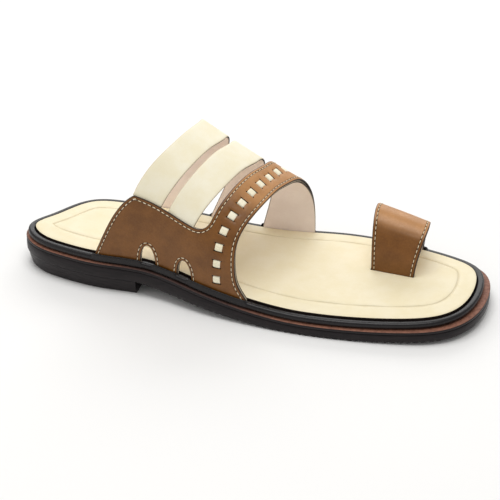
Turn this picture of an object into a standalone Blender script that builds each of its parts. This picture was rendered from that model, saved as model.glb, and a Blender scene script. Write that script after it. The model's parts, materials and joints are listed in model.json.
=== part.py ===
"""A right-foot leather slipper: a padded insole with a rolled binding on a low-heeled sole,
two cream straps, a brown quarter with a laced front strap, and a big-toe loop.

+X runs towards the toe, +Y towards the big-toe side, +Z up, and the origin is the middle
of the heel's flat face on the floor.
"""

import math

import bmesh
import bpy
import numpy as np
from mathutils.geometry import delaunay_2d_cdt

# Sole sizes, in metres
INSOLE_LENGTH = 0.282
BALL_WIDTH = 0.0940
HEEL_MIDDLE = 0.036  # from the insole's heel end to the middle of the heel's flat face
HEEL_BLOCK = 0.0098
SOLE_AT_HEEL = 0.0099  # outsole and midsole together, over the heel block
SOLE_AT_BALL = 0.0077
MIDSOLE = 0.0020
TOE_SPRING = 0.0031
RIM_AT_HEEL = 0.0014  # midsole showing past the binding
RIM_AT_TOE = 0.0040
HEEL_TAPER = 0.0032
EDGE_ROUND = 0.0007
INSOLE_EDGE = 0.0060
INSOLE_CROWN = 0.0013
BINDING_WIDTH = 0.0047
BINDING_DROP = 0.0015  # binding's top below the insole's edge
LEG_DROP = 0.0004  # the same beside a strap's leg, which pushes the roll up

# Upper sizes, in metres
INSTEP_HEIGHT = 0.0895
UPPER_WALL = 0.0014
OVERLAY_WALL = 0.0012
STRAP_BASE = 0.0008  # from the insole's edge down to where the girth starts
LOOP_WALL = 0.0022
LOOP_HEIGHT_REAR = 0.0353
LOOP_HEIGHT_FRONT = 0.0286
LOOP_LEAN_REAR = -0.0018  # how far each edge leans along the foot at the top
LOOP_LEAN_FRONT = 0.0058
ARCH_WIDTH = 0.0098
ARCH_HEIGHT = 0.0104
LACE_WIDTH = 0.0047
LACE_THICK = 0.0006
LACE_PITCH = 0.0108
LACE_PROUD = 0.0003
FIT = 0.0003  # gap between pieces that touch
LEG_ROOM = 0.0011  # beside each leg, where the outline slants
SEAT = UPPER_WALL + OVERLAY_WALL + 2 * FIT  # the upper's outer face past the insole's edge

# Where things lie along the insole, as shares of its length
BREAST = 0.265
SLOPE_TOP = (0.225, 0.665)  # the insole's slope from heel seat to ball
SLOPE_BOTTOM = (0.266, 0.620)
SLOPE_POWER = 1.4
SPRING_START = 0.700
SPRING_POWER = 1.6
RIM_POWER = 6
ARCHES = (0.294, 0.3825)
LOOP_REAR = 0.7645
LOOP_FRONT = 0.8625
LOOP_LENGTH = (LOOP_FRONT - LOOP_REAR) * INSOLE_LENGTH

# Shares of the girth
TUCK = 0.022  # the part of each leg between insole and binding
BEYOND = 1 + TUCK
LACE_START = 0.040  # middle of the first lace square
LACE_ENDS = (0.018, 0.975)
GAP_END = 0.190  # where the gap between the two cream straps ends
VALLEY_TURN = 0.030  # left free where the valley turns up into the front strap
LOOP_TUCK = 0.045  # the part of each leg below the insole's edge, of the loop's own girth

# Mesh fineness
RING_POINTS = 88
HEEL_POINTS = 17  # on each side
ARCH_POINTS = 9
VALLEY_POINTS = 22
LACE_POINTS = 30
MEASURE_POINTS = 401  # where a curve's length or reach is measured
GIRTH_STEP = 0.0055
LENGTH_STEP = 0.0095
STEP_SLACK = 0.3  # share of a step that a run may be over before it is split
EDGE_CLEAR = 0.55  # share of a step that inner mesh points keep from each edge
STATION_CLEAR = 0.002  # share of the outline between two of the binding's stations
SHARP_ANGLE = 35  # degrees

# The insole's outline: along the length, then each side's reach as a share of the ball width
OUTLINE_ROWS = (
    # along, outer, inner
    (0.030, 0.232, 0.042),
    (0.090, 0.300, 0.272),
    (0.180, 0.344, 0.316),
    (0.300, 0.351, 0.326),
    (0.420, 0.440, 0.349),
    (0.540, 0.499, 0.407),
    (0.650, 0.519, 0.484),
    (0.760, 0.504, 0.481),
    (0.860, 0.461, 0.414),
    (0.940, 0.380, 0.327),
    (0.985, 0.223, 0.226),
)
HEEL_TIP = -0.110  # sideways place of the two ends, in the same share
TOE_TIP = 0.031

# Sections of the last over the instep
INSTEP_ROWS = (
    # along, ridge height / INSTEP_HEIGHT, ridge's inward shift / BALL_WIDTH, outer fullness, inner fullness
    (0.160, 1.508, 0.221, 2.45, 2.62),
    (0.300, 1.240, 0.207, 2.45, 2.62),
    (0.426, 1.000, 0.195, 2.45, 2.62),
    (0.550, 0.763, 0.183, 2.45, 2.62),
    (0.660, 0.553, 0.172, 2.45, 2.62),
)

# Edges of the straps: share of the girth, then shares of the insole's length
STRAP_ROWS = (
    # girth, strap 1 rear, strap 1 front, strap 2 rear, strap 2 front, front strap rear
    (0.150, 0.247, 0.311, 0.329, 0.393, 0.406),
    (0.200, 0.259, 0.324, 0.341, 0.405, 0.425),
    (0.300, 0.292, 0.356, 0.371, 0.435, 0.454),
    (0.400, 0.330, 0.387, 0.400, 0.462, 0.476),
    (0.500, 0.355, 0.409, 0.421, 0.481, 0.495),
    (0.600, 0.366, 0.424, 0.438, 0.499, 0.513),
    (0.800, 0.318, 0.388, 0.418, 0.488, 0.513),
    (1.000, 0.244, 0.329, 0.368, 0.449, 0.488),
)
FRONT_ROWS = (
    # girth, front edge, lace's middle
    (0.000, 0.530, 0.463),
    (0.050, 0.510, 0.461),
    (0.100, 0.503, 0.461),
    (0.150, 0.501, 0.463),
    (0.200, 0.503, 0.468),
    (0.300, 0.521, 0.487),
    (0.400, 0.541, 0.508),
    (0.500, 0.556, 0.525),
    (0.600, 0.573, 0.540),
    (0.800, 0.600, 0.556),
    (1.000, 0.605, 0.564),
)
# Rear and top edge of the brown quarter, and the round valley up into the front strap
QUARTER_ROWS = (
    # along, girth
    (0.170, 0.000),
    (0.197, 0.075),
    (0.220, 0.132),
    (0.243, 0.174),
    (0.262, 0.199),
)
QUARTER_TOP = (
    # along, girth
    (0.262, 0.199),
    (0.310, 0.198),
    (0.360, 0.190),
    (0.400, 0.186),
    (0.419, 0.193),
    (0.430, 0.206),
    (0.440, 0.232),
    (0.452, 0.290),
)
# The insole's crown
CROWN_ROWS = (
    # in from the edge / BALL_WIDTH, height / INSOLE_CROWN
    (0.06, 0.70),
    (0.14, 1.00),
)
# The rolled binding's section: across from the insole outwards, and up from the midsole
BINDING_SECTION = (
    # across, up
    (0.00, 0.00),
    (0.88, 0.00),
    (1.00, 0.28),
    (1.00, 0.60),
    (0.86, 0.88),
    (0.60, 1.00),
    (0.25, 1.00),
    (0.00, 0.84),
)
LOOP_NEAR = (0.070, 0.026)  # near leg's sideways place, rear and front, share of the ball width
LOOP_FULLNESS = 2.12
LEAN_POWER = 1.5
SLOT_REACH = (-1.5, 2.0)  # from below the insole's underside to above its top, in tucks

LEATHERS = {
    # name: (colour, roughness)
    "cream_leather": ((0.89, 0.83, 0.64), 0.50),
    "brown_leather": ((0.33, 0.16, 0.07), 0.45),
    "black_binding": ((0.02, 0.018, 0.02), 0.30),
    "edge_brown": ((0.20, 0.08, 0.05), 0.55),
    "outsole_brown": ((0.03, 0.02, 0.02), 0.55),
}


def spline(knots, rows, closed=False):
    """A cubic through the rows, as a function of the knots' measure."""
    knots = np.asarray(knots, float)
    rows = np.asarray(rows, float)
    count = len(knots)
    step = np.diff(knots)
    slope = np.diff(rows, axis=0) / step[:, None]
    system = np.eye(count)
    right = np.zeros_like(rows)
    for i in range(1, count - 1):
        system[i, i - 1 : i + 2] = step[i - 1], 2 * (step[i - 1] + step[i]), step[i]
        right[i] = 6 * (slope[i] - slope[i - 1])
    if closed:
        system[0] = 0
        system[0, [0, 1, count - 2]] = 2 * (step[-1] + step[0]), step[0], step[-1]
        right[0] = 6 * (slope[0] - slope[-1])
        system[-1, 0] = -1
    bend = np.linalg.solve(system, right)

    def curve(at):
        at = np.clip(np.asarray(at, float), knots[0], knots[-1])
        i = np.clip(np.searchsorted(knots, at, side="right") - 1, 0, count - 2)
        h = step[i][..., None]
        a = (knots[i + 1] - at)[..., None] / h
        b = 1 - a
        return a * rows[i] + b * rows[i + 1] + ((a**3 - a) * bend[i] + (b**3 - b) * bend[i + 1]) * h**2 / 6

    return curve


def column(table, number):
    """One column of a table against its first, as a function."""
    knots = [row[0] for row in table]
    curve = spline(knots, [[row[number]] for row in table])
    return lambda at: curve(at)[..., 0]


def ease(share):
    share = np.clip(share, 0, 1)
    return share * share * (3 - 2 * share)


def outline_curve():
    """The insole's closed outline from its heel end, inner side first, and the knot of its toe end."""
    outer = [(u * INSOLE_LENGTH, -w * BALL_WIDTH) for u, w, _ in OUTLINE_ROWS]
    inner = [(u * INSOLE_LENGTH, w * BALL_WIDTH) for u, _, w in OUTLINE_ROWS]
    heel = (0.0, HEEL_TIP * BALL_WIDTH)
    toe = (INSOLE_LENGTH, TOE_TIP * BALL_WIDTH)
    points = np.array([heel, *inner, toe, *outer[::-1], heel])
    points[:, 0] -= HEEL_MIDDLE
    knots = np.concatenate([[0], np.cumsum(np.sqrt(np.linalg.norm(np.diff(points, axis=0), axis=1)))])
    return spline(knots, points, closed=True), knots[len(inner) + 1], knots[-1]


OUTLINE, TOE_KNOT, LAST_KNOT = outline_curve()


def edge_points(at, offset):
    """Points at an offset outside the insole's outline."""
    nudge = LAST_KNOT * 1e-4
    ahead = OUTLINE((at + nudge) % LAST_KNOT)
    behind = OUTLINE((at - nudge) % LAST_KNOT)
    run = ahead - behind
    out = np.stack([run[:, 1], -run[:, 0]], axis=1)
    out /= np.linalg.norm(out, axis=1)[:, None]
    out *= -1 if (out[:, 1] * OUTLINE(at)[:, 1]).sum() < 0 else 1
    return OUTLINE(at) + out * np.reshape(offset, (-1, 1))


def side_table(inner):
    """Knots, places along and reach sideways of one side of the outline."""
    at = np.linspace(0 if inner else LAST_KNOT, TOE_KNOT, MEASURE_POINTS)
    points = OUTLINE(at)
    rising = np.maximum.accumulate(points[:, 0])
    return at, rising, np.abs(points[:, 1])


OUTER_SIDE = side_table(False)
INNER_SIDE = side_table(True)


def reach(x, side):
    return np.interp(x, side[1], side[2])


def knot_at(x, side):
    return float(np.interp(x, side[1], side[0]))


def place_x(share):
    return share * INSOLE_LENGTH - HEEL_MIDDLE


def share_x(x):
    return (np.asarray(x, float) + HEEL_MIDDLE) / INSOLE_LENGTH


def spring(u):
    return TOE_SPRING * np.clip((u - SPRING_START) / (1 - SPRING_START), 0, None) ** SPRING_POWER


def ledge_z(x):
    """Top of the midsole."""
    u = share_x(x)
    start, end = SLOPE_TOP
    heel = HEEL_BLOCK + SOLE_AT_HEEL
    return heel + (SOLE_AT_BALL - heel) * ease((u - start) / (end - start)) + spring(u)


def tread_z(x):
    """Underside of the outsole."""
    u = share_x(x)
    start, end = SLOPE_BOTTOM
    return HEEL_BLOCK * (1 - np.clip((u - start) / (end - start), 0, 1)) ** SLOPE_POWER + spring(u)


def insole_z(x):
    """The insole's top edge."""
    return ledge_z(x) + INSOLE_EDGE


def rim(x):
    """How far the midsole's edge lies outside the insole."""
    u = np.clip(share_x(x), 0, 1)
    return FIT + BINDING_WIDTH + RIM_AT_HEEL + (RIM_AT_TOE - RIM_AT_HEEL) * u**RIM_POWER


def new_object(name, vertices, faces, leather):
    mesh = bpy.data.meshes.new(name)
    mesh.from_pydata([tuple(map(float, v)) for v in vertices], [], faces)
    shape = bmesh.new()
    shape.from_mesh(mesh)
    bmesh.ops.triangulate(shape, faces=shape.faces[:])
    bmesh.ops.recalc_face_normals(shape, faces=shape.faces[:])
    shape.to_mesh(mesh)
    shape.free()
    mesh.shade_smooth()
    mesh.set_sharp_from_angle(angle=math.radians(SHARP_ANGLE))
    mesh.materials.append(material(leather))
    thing = bpy.data.objects.new(name, mesh)
    bpy.context.scene.collection.objects.link(thing)
    return thing


def material(leather):
    if leather in bpy.data.materials:
        return bpy.data.materials[leather]
    colour, roughness = LEATHERS[leather]
    made = bpy.data.materials.new(leather)
    made.use_nodes = True
    shader = made.node_tree.nodes["Principled BSDF"]
    shader.inputs["Base Color"].default_value = (*colour, 1.0)
    shader.inputs["Roughness"].default_value = roughness
    shader.inputs["Metallic"].default_value = 0.0
    return made


def ring_knots():
    """Knots round the outline, with the heel end first and the toe end halfway."""
    half = RING_POINTS // 2
    inner = np.linspace(0, TOE_KNOT, half, endpoint=False)
    outer = np.linspace(TOE_KNOT, LAST_KNOT, half, endpoint=False)
    return np.concatenate([inner, outer])


def cap(first, count, pair_sum):
    """Strips from side to side that close a ring whose points k and pair_sum - k face each other."""
    faces = []
    start = pair_sum - count
    low = 1 if start == 0 else 0
    for k in range(low, pair_sum // 2):
        a, b = k, k + 1
        c, d = (pair_sum - b) % count, (pair_sum - a) % count
        face = [a, b] if b == c else [a, b, c]
        face = face + [d]
        faces.append([first + i for i in face])
    if start == 0:
        faces.append([first, first + 1, first + count - 1])
    return faces


def loft(name, rings, pair_sum, leather):
    """A closed solid through rings of equal count, capped at both ends."""
    count = len(rings[0])
    faces = cap(0, count, pair_sum) + cap(count * (len(rings) - 1), count, pair_sum)
    for level in range(len(rings) - 1):
        for i in range(count):
            j = (i + 1) % count
            low, high = level * count, (level + 1) * count
            faces.append([low + i, low + j, high + j, high + i])
    return new_object(name, np.vstack(rings), faces, leather)


def ring(knots, offset, height):
    """One ring: offset and height are functions of the place along, or plain sizes."""
    base = OUTLINE(knots)[:, 0]
    points = edge_points(knots, offset(base) if callable(offset) else offset)
    return np.column_stack([points, height(points[:, 0])])


def make_outsole():
    knots = ring_knots()
    rings = [
        ring(knots, lambda x: rim(x) - EDGE_ROUND, tread_z),
        ring(knots, rim, lambda x: tread_z(x) + EDGE_ROUND),
        ring(knots, rim, lambda x: ledge_z(x) - MIDSOLE - FIT),
    ]
    loft("outsole", rings, RING_POINTS, "outsole_brown")


def make_midsole():
    knots = ring_knots()
    rings = [
        ring(knots, rim, lambda x: ledge_z(x) - MIDSOLE),
        ring(knots, rim, lambda x: ledge_z(x) - EDGE_ROUND / 2),
        ring(knots, lambda x: rim(x) - EDGE_ROUND / 2, ledge_z),
    ]
    loft("midsole", rings, RING_POINTS, "edge_brown")


def make_heel():
    """The block under the heel seat, cut straight across at its breast."""
    breast = place_x(BREAST)
    inner = np.linspace(knot_at(breast, INNER_SIDE), 0, HEEL_POINTS, endpoint=False)
    outer = np.linspace(LAST_KNOT, knot_at(breast, OUTER_SIDE), HEEL_POINTS + 1)
    knots = np.concatenate([inner, outer])
    top = HEEL_BLOCK - FIT
    rings = []
    for height, inset in ((0, HEEL_TAPER), (EDGE_ROUND, HEEL_TAPER - EDGE_ROUND), (top, EDGE_ROUND)):
        level = ring(knots, lambda x: rim(x) - inset, lambda x: 0 * x + height)
        level[[0, -1], 0] = breast
        rings.append(level)
    loft("heel", rings, 2 * HEEL_POINTS, "outsole_brown")


def make_insole():
    knots = ring_knots()
    rings = [
        ring(knots, 0.0, lambda x: ledge_z(x) + FIT),
        ring(knots, 0.0, lambda x: insole_z(x) - EDGE_ROUND),
        ring(knots, -EDGE_ROUND, insole_z),
    ]
    for inset, share in CROWN_ROWS:
        rings.append(ring(knots, -inset * BALL_WIDTH, lambda x: insole_z(x) + share * INSOLE_CROWN))
    return loft("insole", rings, RING_POINTS, "cream_leather")


RIDGE, SHIFT, OUTER_FULL, INNER_FULL = (column(INSTEP_ROWS, n) for n in (1, 2, 3, 4))


def section(x, angle):
    """One section of the last at the angle from its inner foot: places across and up."""
    u = share_x(x)
    base = insole_z(x) - STRAP_BASE
    shift = SHIFT(u) * BALL_WIDTH
    across, up = np.cos(angle), np.sin(angle)
    outer = across < 0
    full = np.where(outer, OUTER_FULL(u), INNER_FULL(u))
    half = np.where(outer, reach(x, OUTER_SIDE) + shift, reach(x, INNER_SIDE) - shift) + SEAT
    scale = (np.abs(across) ** full + np.abs(up) ** full) ** (-1 / full)
    return shift + half * across * scale, base + (RIDGE(u) * INSTEP_HEIGHT - base) * up * scale


TURNS = np.linspace(math.pi, 0, 121)


def last_point(x, v):
    """The upper's outer face: x along, v the share of the girth from the outer edge over to the inner."""
    x, v = np.atleast_1d(x).astype(float), np.atleast_1d(v).astype(float)
    y, z = section(x[:, None], TURNS[None])
    travelled = np.cumsum(np.hypot(np.diff(y, axis=1), np.diff(z, axis=1)), axis=1)
    shares = np.column_stack([0 * x, travelled / travelled[:, -1:]])
    angle = np.array([np.interp(over, row, TURNS) for over, row in zip(v, shares)])
    y, z = section(x, angle)
    beyond = np.maximum(-v, v - 1).clip(0) / TUCK
    base = insole_z(x) - STRAP_BASE
    return np.stack([x, y, z - beyond * (base - ledge_z(x) - FIT)], axis=-1)


def over_length(surface, a):
    """The way over a surface at one place along it, from one foot to the other."""
    shares = np.linspace(0, 1, MEASURE_POINTS)
    line = surface(np.full(MEASURE_POINTS, a), shares)
    return float(np.linalg.norm(np.diff(line, axis=0), axis=1).sum())


GIRTH = over_length(last_point, place_x(INSTEP_ROWS[len(INSTEP_ROWS) // 2][0]))


def lifted(surface, a, b, lift):
    """Points of a surface moved along its outward normal."""
    nudge = 1e-4
    run = surface(a + nudge, b) - surface(a - nudge, b)
    over = surface(a, b + nudge) - surface(a, b - nudge)
    normal = np.cross(run, over)
    normal /= np.linalg.norm(normal, axis=-1)[..., None]
    return surface(a, b) + normal * lift


def on_last(points, lift):
    """Flat pattern points, in metres along and over, laid on the last."""
    return lifted(last_point, points[:, 0], points[:, 1] / GIRTH, lift)


def inside(points, loop):
    """Which points lie within a closed loop."""
    x, y = points[:, :1], points[:, 1:]
    x0, y0 = loop[:, 0], loop[:, 1]
    x1, y1 = np.roll(x0, -1), np.roll(y0, -1)
    crosses = (y0 > y) != (y1 > y)
    with np.errstate(divide="ignore", invalid="ignore"):
        left = x < x0 + (y - y0) * (x1 - x0) / (y1 - y0)
    return (crosses & left).sum(axis=1) % 2 == 1


def away(points, loop, distance):
    """Which points keep a distance from a loop's segments."""
    start = loop[None]
    run = np.roll(loop, -1, axis=0)[None] - start
    along = ((points[:, None] - start) * run).sum(2) / (run**2).sum(2).clip(1e-18)
    near = start + np.clip(along, 0, 1)[..., None] * run
    return np.linalg.norm(points[:, None] - near, axis=2).min(axis=1) > distance


def resampled(points):
    """A run of pattern points with none further apart than the mesh's steps."""
    points = np.asarray(points, float)
    out = [points[:1]]
    for start, end in zip(points[:-1], points[1:]):
        reachx, reachy = np.abs(end - start) / (LENGTH_STEP, GIRTH_STEP)
        pieces = max(1, math.ceil(max(reachx, reachy) - STEP_SLACK))
        out.append(start + (end - start) * (np.arange(1, pieces + 1) / pieces)[:, None])
    return np.vstack(out)


def wall(name, loops, levels, surface, leather):
    """A leather wall cut to loops of a flat pattern. levels gives each spot's low and high face, or None."""
    squeeze = np.array([GIRTH_STEP / LENGTH_STEP, 1.0])
    loops = [np.asarray(loop) * squeeze for loop in loops]
    points = np.vstack(loops)
    edges = []
    first = 0
    for loop in loops:
        count = len(loop)
        edges += [(first + i, first + (i + 1) % count) for i in range(count)]
        first += count
    low, high = points.min(axis=0), points.max(axis=0)
    columns = np.arange(low[0], high[0], GIRTH_STEP)
    rows = np.arange(low[1], high[1], GIRTH_STEP)
    grid = np.array([(c + GIRTH_STEP / 2 * (n % 2), r) for n, r in enumerate(rows) for c in columns])
    for loop in loops:
        grid = grid[away(grid, loop, EDGE_CLEAR * GIRTH_STEP)]
    grid = grid[inside(grid, loops[0])]
    cut = delaunay_2d_cdt(np.vstack([points, grid]).tolist(), edges, [], 0, 1e-7)
    flat = np.array([tuple(p) for p in cut[0]])
    corners = [list(f) for f in cut[2]]
    middles = np.array([flat[f].mean(axis=0) for f in corners]) / squeeze
    flat = flat / squeeze
    facing = {}
    heights = {}
    for face, level in zip(corners, levels(middles)):
        if level is None:
            continue
        a, b, c = flat[face]
        if (b[0] - a[0]) * (c[1] - a[1]) < (b[1] - a[1]) * (c[0] - a[0]):
            face = face[::-1]
        heights[tuple(face)] = level
        for i in range(3):
            facing[face[i], face[(i + 1) % 3]] = level
    vertices = {}
    faces = []

    def corner(point, lift):
        return vertices.setdefault((point, lift), len(vertices))

    for face, (under, top) in heights.items():
        faces.append([corner(p, top) for p in face])
        faces.append([corner(p, under) for p in face[::-1]])
    for (a, b), (under, top) in facing.items():
        steps = [(under, top)]
        if (b, a) in facing:
            next_under, next_top = facing[b, a]
            steps = [(next_top, top), (under, next_under)]
        for bottom, height in steps:
            if height > bottom:
                faces.append([corner(a, bottom), corner(b, bottom), corner(b, height), corner(a, height)])
    keys = np.array([(*flat[point], lift) for point, lift in vertices])
    solid = surface(keys[:, :2], keys[:, 2:])
    return new_object(name, solid, faces, leather)


def edge_run(table, number, start, end):
    """Pattern points of one strap edge from one share of the girth to another."""
    curve = column(table, number)
    count = max(2, round(abs(end - start) * GIRTH / GIRTH_STEP) + 1)
    shares = np.linspace(start, end, count)
    return np.column_stack([place_x(curve(np.clip(shares, 0, 1))), shares * GIRTH])


def pattern_points(rows):
    return np.array([(place_x(along), over * GIRTH) for along, over in rows])


def arch_run(middle, foot):
    """An arched notch in the outer base, with its feet at the bottom of the tuck."""
    turns = np.linspace(math.pi, 0, ARCH_POINTS)
    centre = place_x(middle)
    arch = [(centre + ARCH_WIDTH / 2 * math.cos(t), ARCH_HEIGHT * math.sin(t)) for t in turns]
    return [(centre - ARCH_WIDTH / 2, foot), *arch, (centre + ARCH_WIDTH / 2, foot)]


def base_run():
    """The quarter's foot, from its rear end over the two arches to the front edge."""
    foot = -TUCK * GIRTH
    points = [(place_x(QUARTER_ROWS[0][0]), foot)]
    for middle in ARCHES:
        points += arch_run(middle, foot)
    points.append((place_x(FRONT_ROWS[0][1]), foot))
    return np.array(points)


def closed(*runs):
    """Runs of points joined to one loop, without doubled points."""
    points = resampled(np.vstack(runs))
    keep = [points[0]]
    for point in points[1:]:
        if np.linalg.norm(point - keep[-1]) > FIT:
            keep.append(point)
    if np.linalg.norm(keep[-1] - keep[0]) < FIT:
        keep.pop()
    return np.array(keep)


def front_strap_run():
    """Front edge over the instep, the inner foot, and the rear edge back to the valley."""
    front = edge_run(FRONT_ROWS, 1, -TUCK, BEYOND)
    rear = edge_run(STRAP_ROWS, 5, BEYOND, QUARTER_TOP[-1][1] + VALLEY_TURN)
    return np.vstack([front, rear])


def overlay_outline():
    top = spline(np.arange(len(QUARTER_TOP)), pattern_points(QUARTER_TOP))
    back = top(np.linspace(len(QUARTER_TOP) - 1, 0, VALLEY_POINTS))
    return closed(base_run(), front_strap_run(), back, pattern_points(QUARTER_ROWS[::-1]))


def upper_outline():
    """The cream wall: both straps, and the backing of the brown quarter and front strap."""
    top = spline(np.arange(len(QUARTER_TOP)), pattern_points(QUARTER_TOP))
    valley = top(np.linspace(len(QUARTER_TOP) - 1, 0, VALLEY_POINTS))
    front_foot = edge_run(STRAP_ROWS, 4, QUARTER_TOP[3][1], BEYOND)
    valley = valley[valley[:, 0] > front_foot[0, 0] + FIT]
    return closed(
        base_run(),
        front_strap_run(),
        valley,
        front_foot,
        edge_run(STRAP_ROWS, 3, BEYOND, GAP_END),
        edge_run(STRAP_ROWS, 2, GAP_END, BEYOND),
        edge_run(STRAP_ROWS, 1, BEYOND, QUARTER_ROWS[-1][1]),
        pattern_points(QUARTER_ROWS[::-1])[1:],
    )


LACE_MIDDLE = column(FRONT_ROWS, 2)


def lace_frames():
    """The places of the lace's squares."""
    shares = np.linspace(0, 1, MEASURE_POINTS)
    line = last_point(place_x(LACE_MIDDLE(shares)), shares)
    travelled = np.concatenate([[0], np.cumsum(np.linalg.norm(np.diff(line, axis=0), axis=1))])
    start = np.interp(LACE_START, shares, travelled)
    last = np.interp(LACE_ENDS[1], shares, travelled) - LACE_WIDTH
    return [lace_frame(np.interp(d, travelled, shares)) for d in np.arange(start, last, LACE_PITCH)]


def lace_frame(share):
    """One place on the lace's middle, and the pattern steps of a metre along and across the lace."""
    nudge = 2e-3
    x = place_x(LACE_MIDDLE(share))
    nudged = np.array([share, share, share - nudge, share + nudge])
    behind, before, under, above = last_point(np.array([x - nudge, x + nudge, x, x]), nudged)
    run = (before - behind) / (2 * nudge)
    over = (above - under) / (2 * nudge * GIRTH)
    far = last_point(place_x(LACE_MIDDLE(nudged[2:])), nudged[2:])
    ahead = far[1] - far[0]
    ahead /= np.linalg.norm(ahead)
    side = np.cross(ahead, np.cross(run, over))
    side /= np.linalg.norm(side)
    to_pattern = np.linalg.pinv(np.column_stack([run, over]))
    return np.array([x, share * GIRTH]), to_pattern @ ahead, to_pattern @ side


def squares(size):
    """A square loop of the given size round each lace square's middle."""
    half = size / 2
    loops = []
    for centre, along, across in lace_frames():
        turns = ((-1, -1), (1, -1), (1, 1), (-1, 1))
        loops.append(np.array([centre + half * (a * along + b * across) for a, b in turns]))
    return loops


def lace_band(width, margin):
    """The lace's whole strip as one loop."""
    frames = [lace_frame(share) for share in np.linspace(*LACE_ENDS, LACE_POINTS)]
    left = np.array([centre + across * width / 2 for centre, _, across in frames])
    right = np.array([centre - across * width / 2 for centre, _, across in frames])
    left[0] -= frames[0][1] * margin
    right[0] -= frames[0][1] * margin
    left[-1] += frames[-1][1] * margin
    right[-1] += frames[-1][1] * margin
    return closed(left, right[::-1])


def levels_by_loop(default, special, cut=()):
    """Level picker: the default inside the outline, another level inside special loops, none in cut loops."""
    outline, base_level = default

    def pick(middles):
        found = [base_level if ok else None for ok in inside(middles, outline)]
        for loop, level in special + [(loop, None) for loop in cut]:
            for n in np.flatnonzero(inside(middles, loop)):
                found[n] = level if found[n] is not None else None
        return found

    return pick


OVERLAY_LEVEL = (-OVERLAY_WALL, 0.0)
UPPER_TOP = -OVERLAY_WALL - FIT
UPPER_LEVEL = (UPPER_TOP - UPPER_WALL, UPPER_TOP)
LACE_LEVEL = (UPPER_TOP - LACE_THICK, UPPER_TOP)
CHANNEL_LEVEL = (UPPER_TOP - UPPER_WALL, UPPER_TOP - LACE_THICK - FIT)
SQUARE_LEVEL = (LACE_LEVEL[0], LACE_PROUD)


def make_upper():
    outline = upper_outline()
    channel = lace_band(LACE_WIDTH + 2 * FIT, FIT)
    levels = levels_by_loop((outline, UPPER_LEVEL), [(channel, CHANNEL_LEVEL)])
    wall("upper", [outline, channel], levels, on_last, "cream_leather")


def make_overlay():
    outline = overlay_outline()
    windows = squares(LACE_WIDTH)
    levels = levels_by_loop((outline, OVERLAY_LEVEL), [], windows)
    wall("overlay", [outline, *windows], levels, on_last, "brown_leather")


def make_lace():
    band = lace_band(LACE_WIDTH, 0.0)
    pads = squares(LACE_WIDTH - 2 * FIT)
    levels = levels_by_loop((band, LACE_LEVEL), [(pad, SQUARE_LEVEL) for pad in pads])
    wall("lace", [band, *pads], levels, on_last, "cream_leather")


def loop_point(w, v):
    """The toe loop's outer face: w from its rear to its front edge, v from the near leg over to the far."""
    near_rear, near_front = (share * BALL_WIDTH for share in LOOP_NEAR)
    near = near_rear + (near_front - near_rear) * w
    height = LOOP_HEIGHT_REAR + (LOOP_HEIGHT_FRONT - LOOP_HEIGHT_REAR) * w
    angle = np.pi * (1 - np.clip(v, 0, 1))
    across, up = np.cos(angle), np.sin(angle)
    lean = LOOP_LEAN_REAR + (LOOP_LEAN_FRONT - LOOP_LEAN_REAR) * w
    x = place_x(LOOP_REAR + (LOOP_FRONT - LOOP_REAR) * w) + lean * np.abs(up) ** LEAN_POWER
    far = reach(x, INNER_SIDE) + FIT + LOOP_WALL
    middle, half = (near + far) / 2, (far - near) / 2
    scale = (np.abs(across) ** LOOP_FULLNESS + np.abs(up) ** LOOP_FULLNESS) ** (-1 / LOOP_FULLNESS)
    base = insole_z(x)
    beyond = np.maximum(-v, v - 1).clip(0) / LOOP_TUCK
    z = base + height * up * scale - beyond * (base - ledge_z(x) - FIT)
    return np.stack([x, middle + half * across * scale, z], axis=-1)


LOOP_GIRTH = over_length(loop_point, 0.5)


def on_loop(points, lift):
    return lifted(loop_point, points[:, 0] / LOOP_LENGTH, points[:, 1] / LOOP_GIRTH, lift)


def loop_strip(side, start, end):
    """A strip of the loop's pattern, grown by side past both edges."""
    corners = [(-side, start), (LOOP_LENGTH + side, start), (LOOP_LENGTH + side, end), (-side, end)]
    return closed([(x, v * LOOP_GIRTH) for x, v in corners], [(-side, start * LOOP_GIRTH)])


def make_toe_loop():
    strip = loop_strip(0.0, -LOOP_TUCK, 1 + LOOP_TUCK)
    levels = levels_by_loop((strip, (-LOOP_WALL, 0.0)), [])
    wall("toe_loop", [strip], levels, on_loop, "brown_leather")


def cut_toe_slot(insole):
    """The slit in the insole that the loop's near leg goes down."""
    low, high = SLOT_REACH
    strip = loop_strip(FIT, low * LOOP_TUCK, high * LOOP_TUCK)
    levels = levels_by_loop((strip, (-LOOP_WALL - FIT, FIT)), [])
    cutter = wall("toe_slot_cutter", [strip], levels, on_loop, "cream_leather")
    cutter.hide_render = True
    cutter.display_type = "WIRE"
    cut = insole.modifiers.new("toe slot", "BOOLEAN")
    cut.operation = "DIFFERENCE"
    cut.solver = "EXACT"
    cut.object = cutter


def legs():
    """Each leg between insole and binding: outline side, rear and front place, and its outer face."""
    half = ARCH_WIDTH / 2
    stops = [place_x(QUARTER_ROWS[0][0])]
    for middle in ARCHES:
        stops += [place_x(middle) - half, place_x(middle) + half]
    stops.append(place_x(FRONT_ROWS[0][1]))
    found = [(OUTER_SIDE, stops[i], stops[i + 1], SEAT) for i in (0, 2, 4)]
    foot = STRAP_ROWS[-1]
    feet = ((foot[1], foot[2]), (foot[3], foot[4]), (foot[5], FRONT_ROWS[-1][1]))
    found += [(INNER_SIDE, place_x(rear), place_x(front), SEAT) for rear, front in feet]
    found.append((INNER_SIDE, place_x(LOOP_REAR), place_x(LOOP_FRONT), FIT + LOOP_WALL))
    return found


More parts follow.
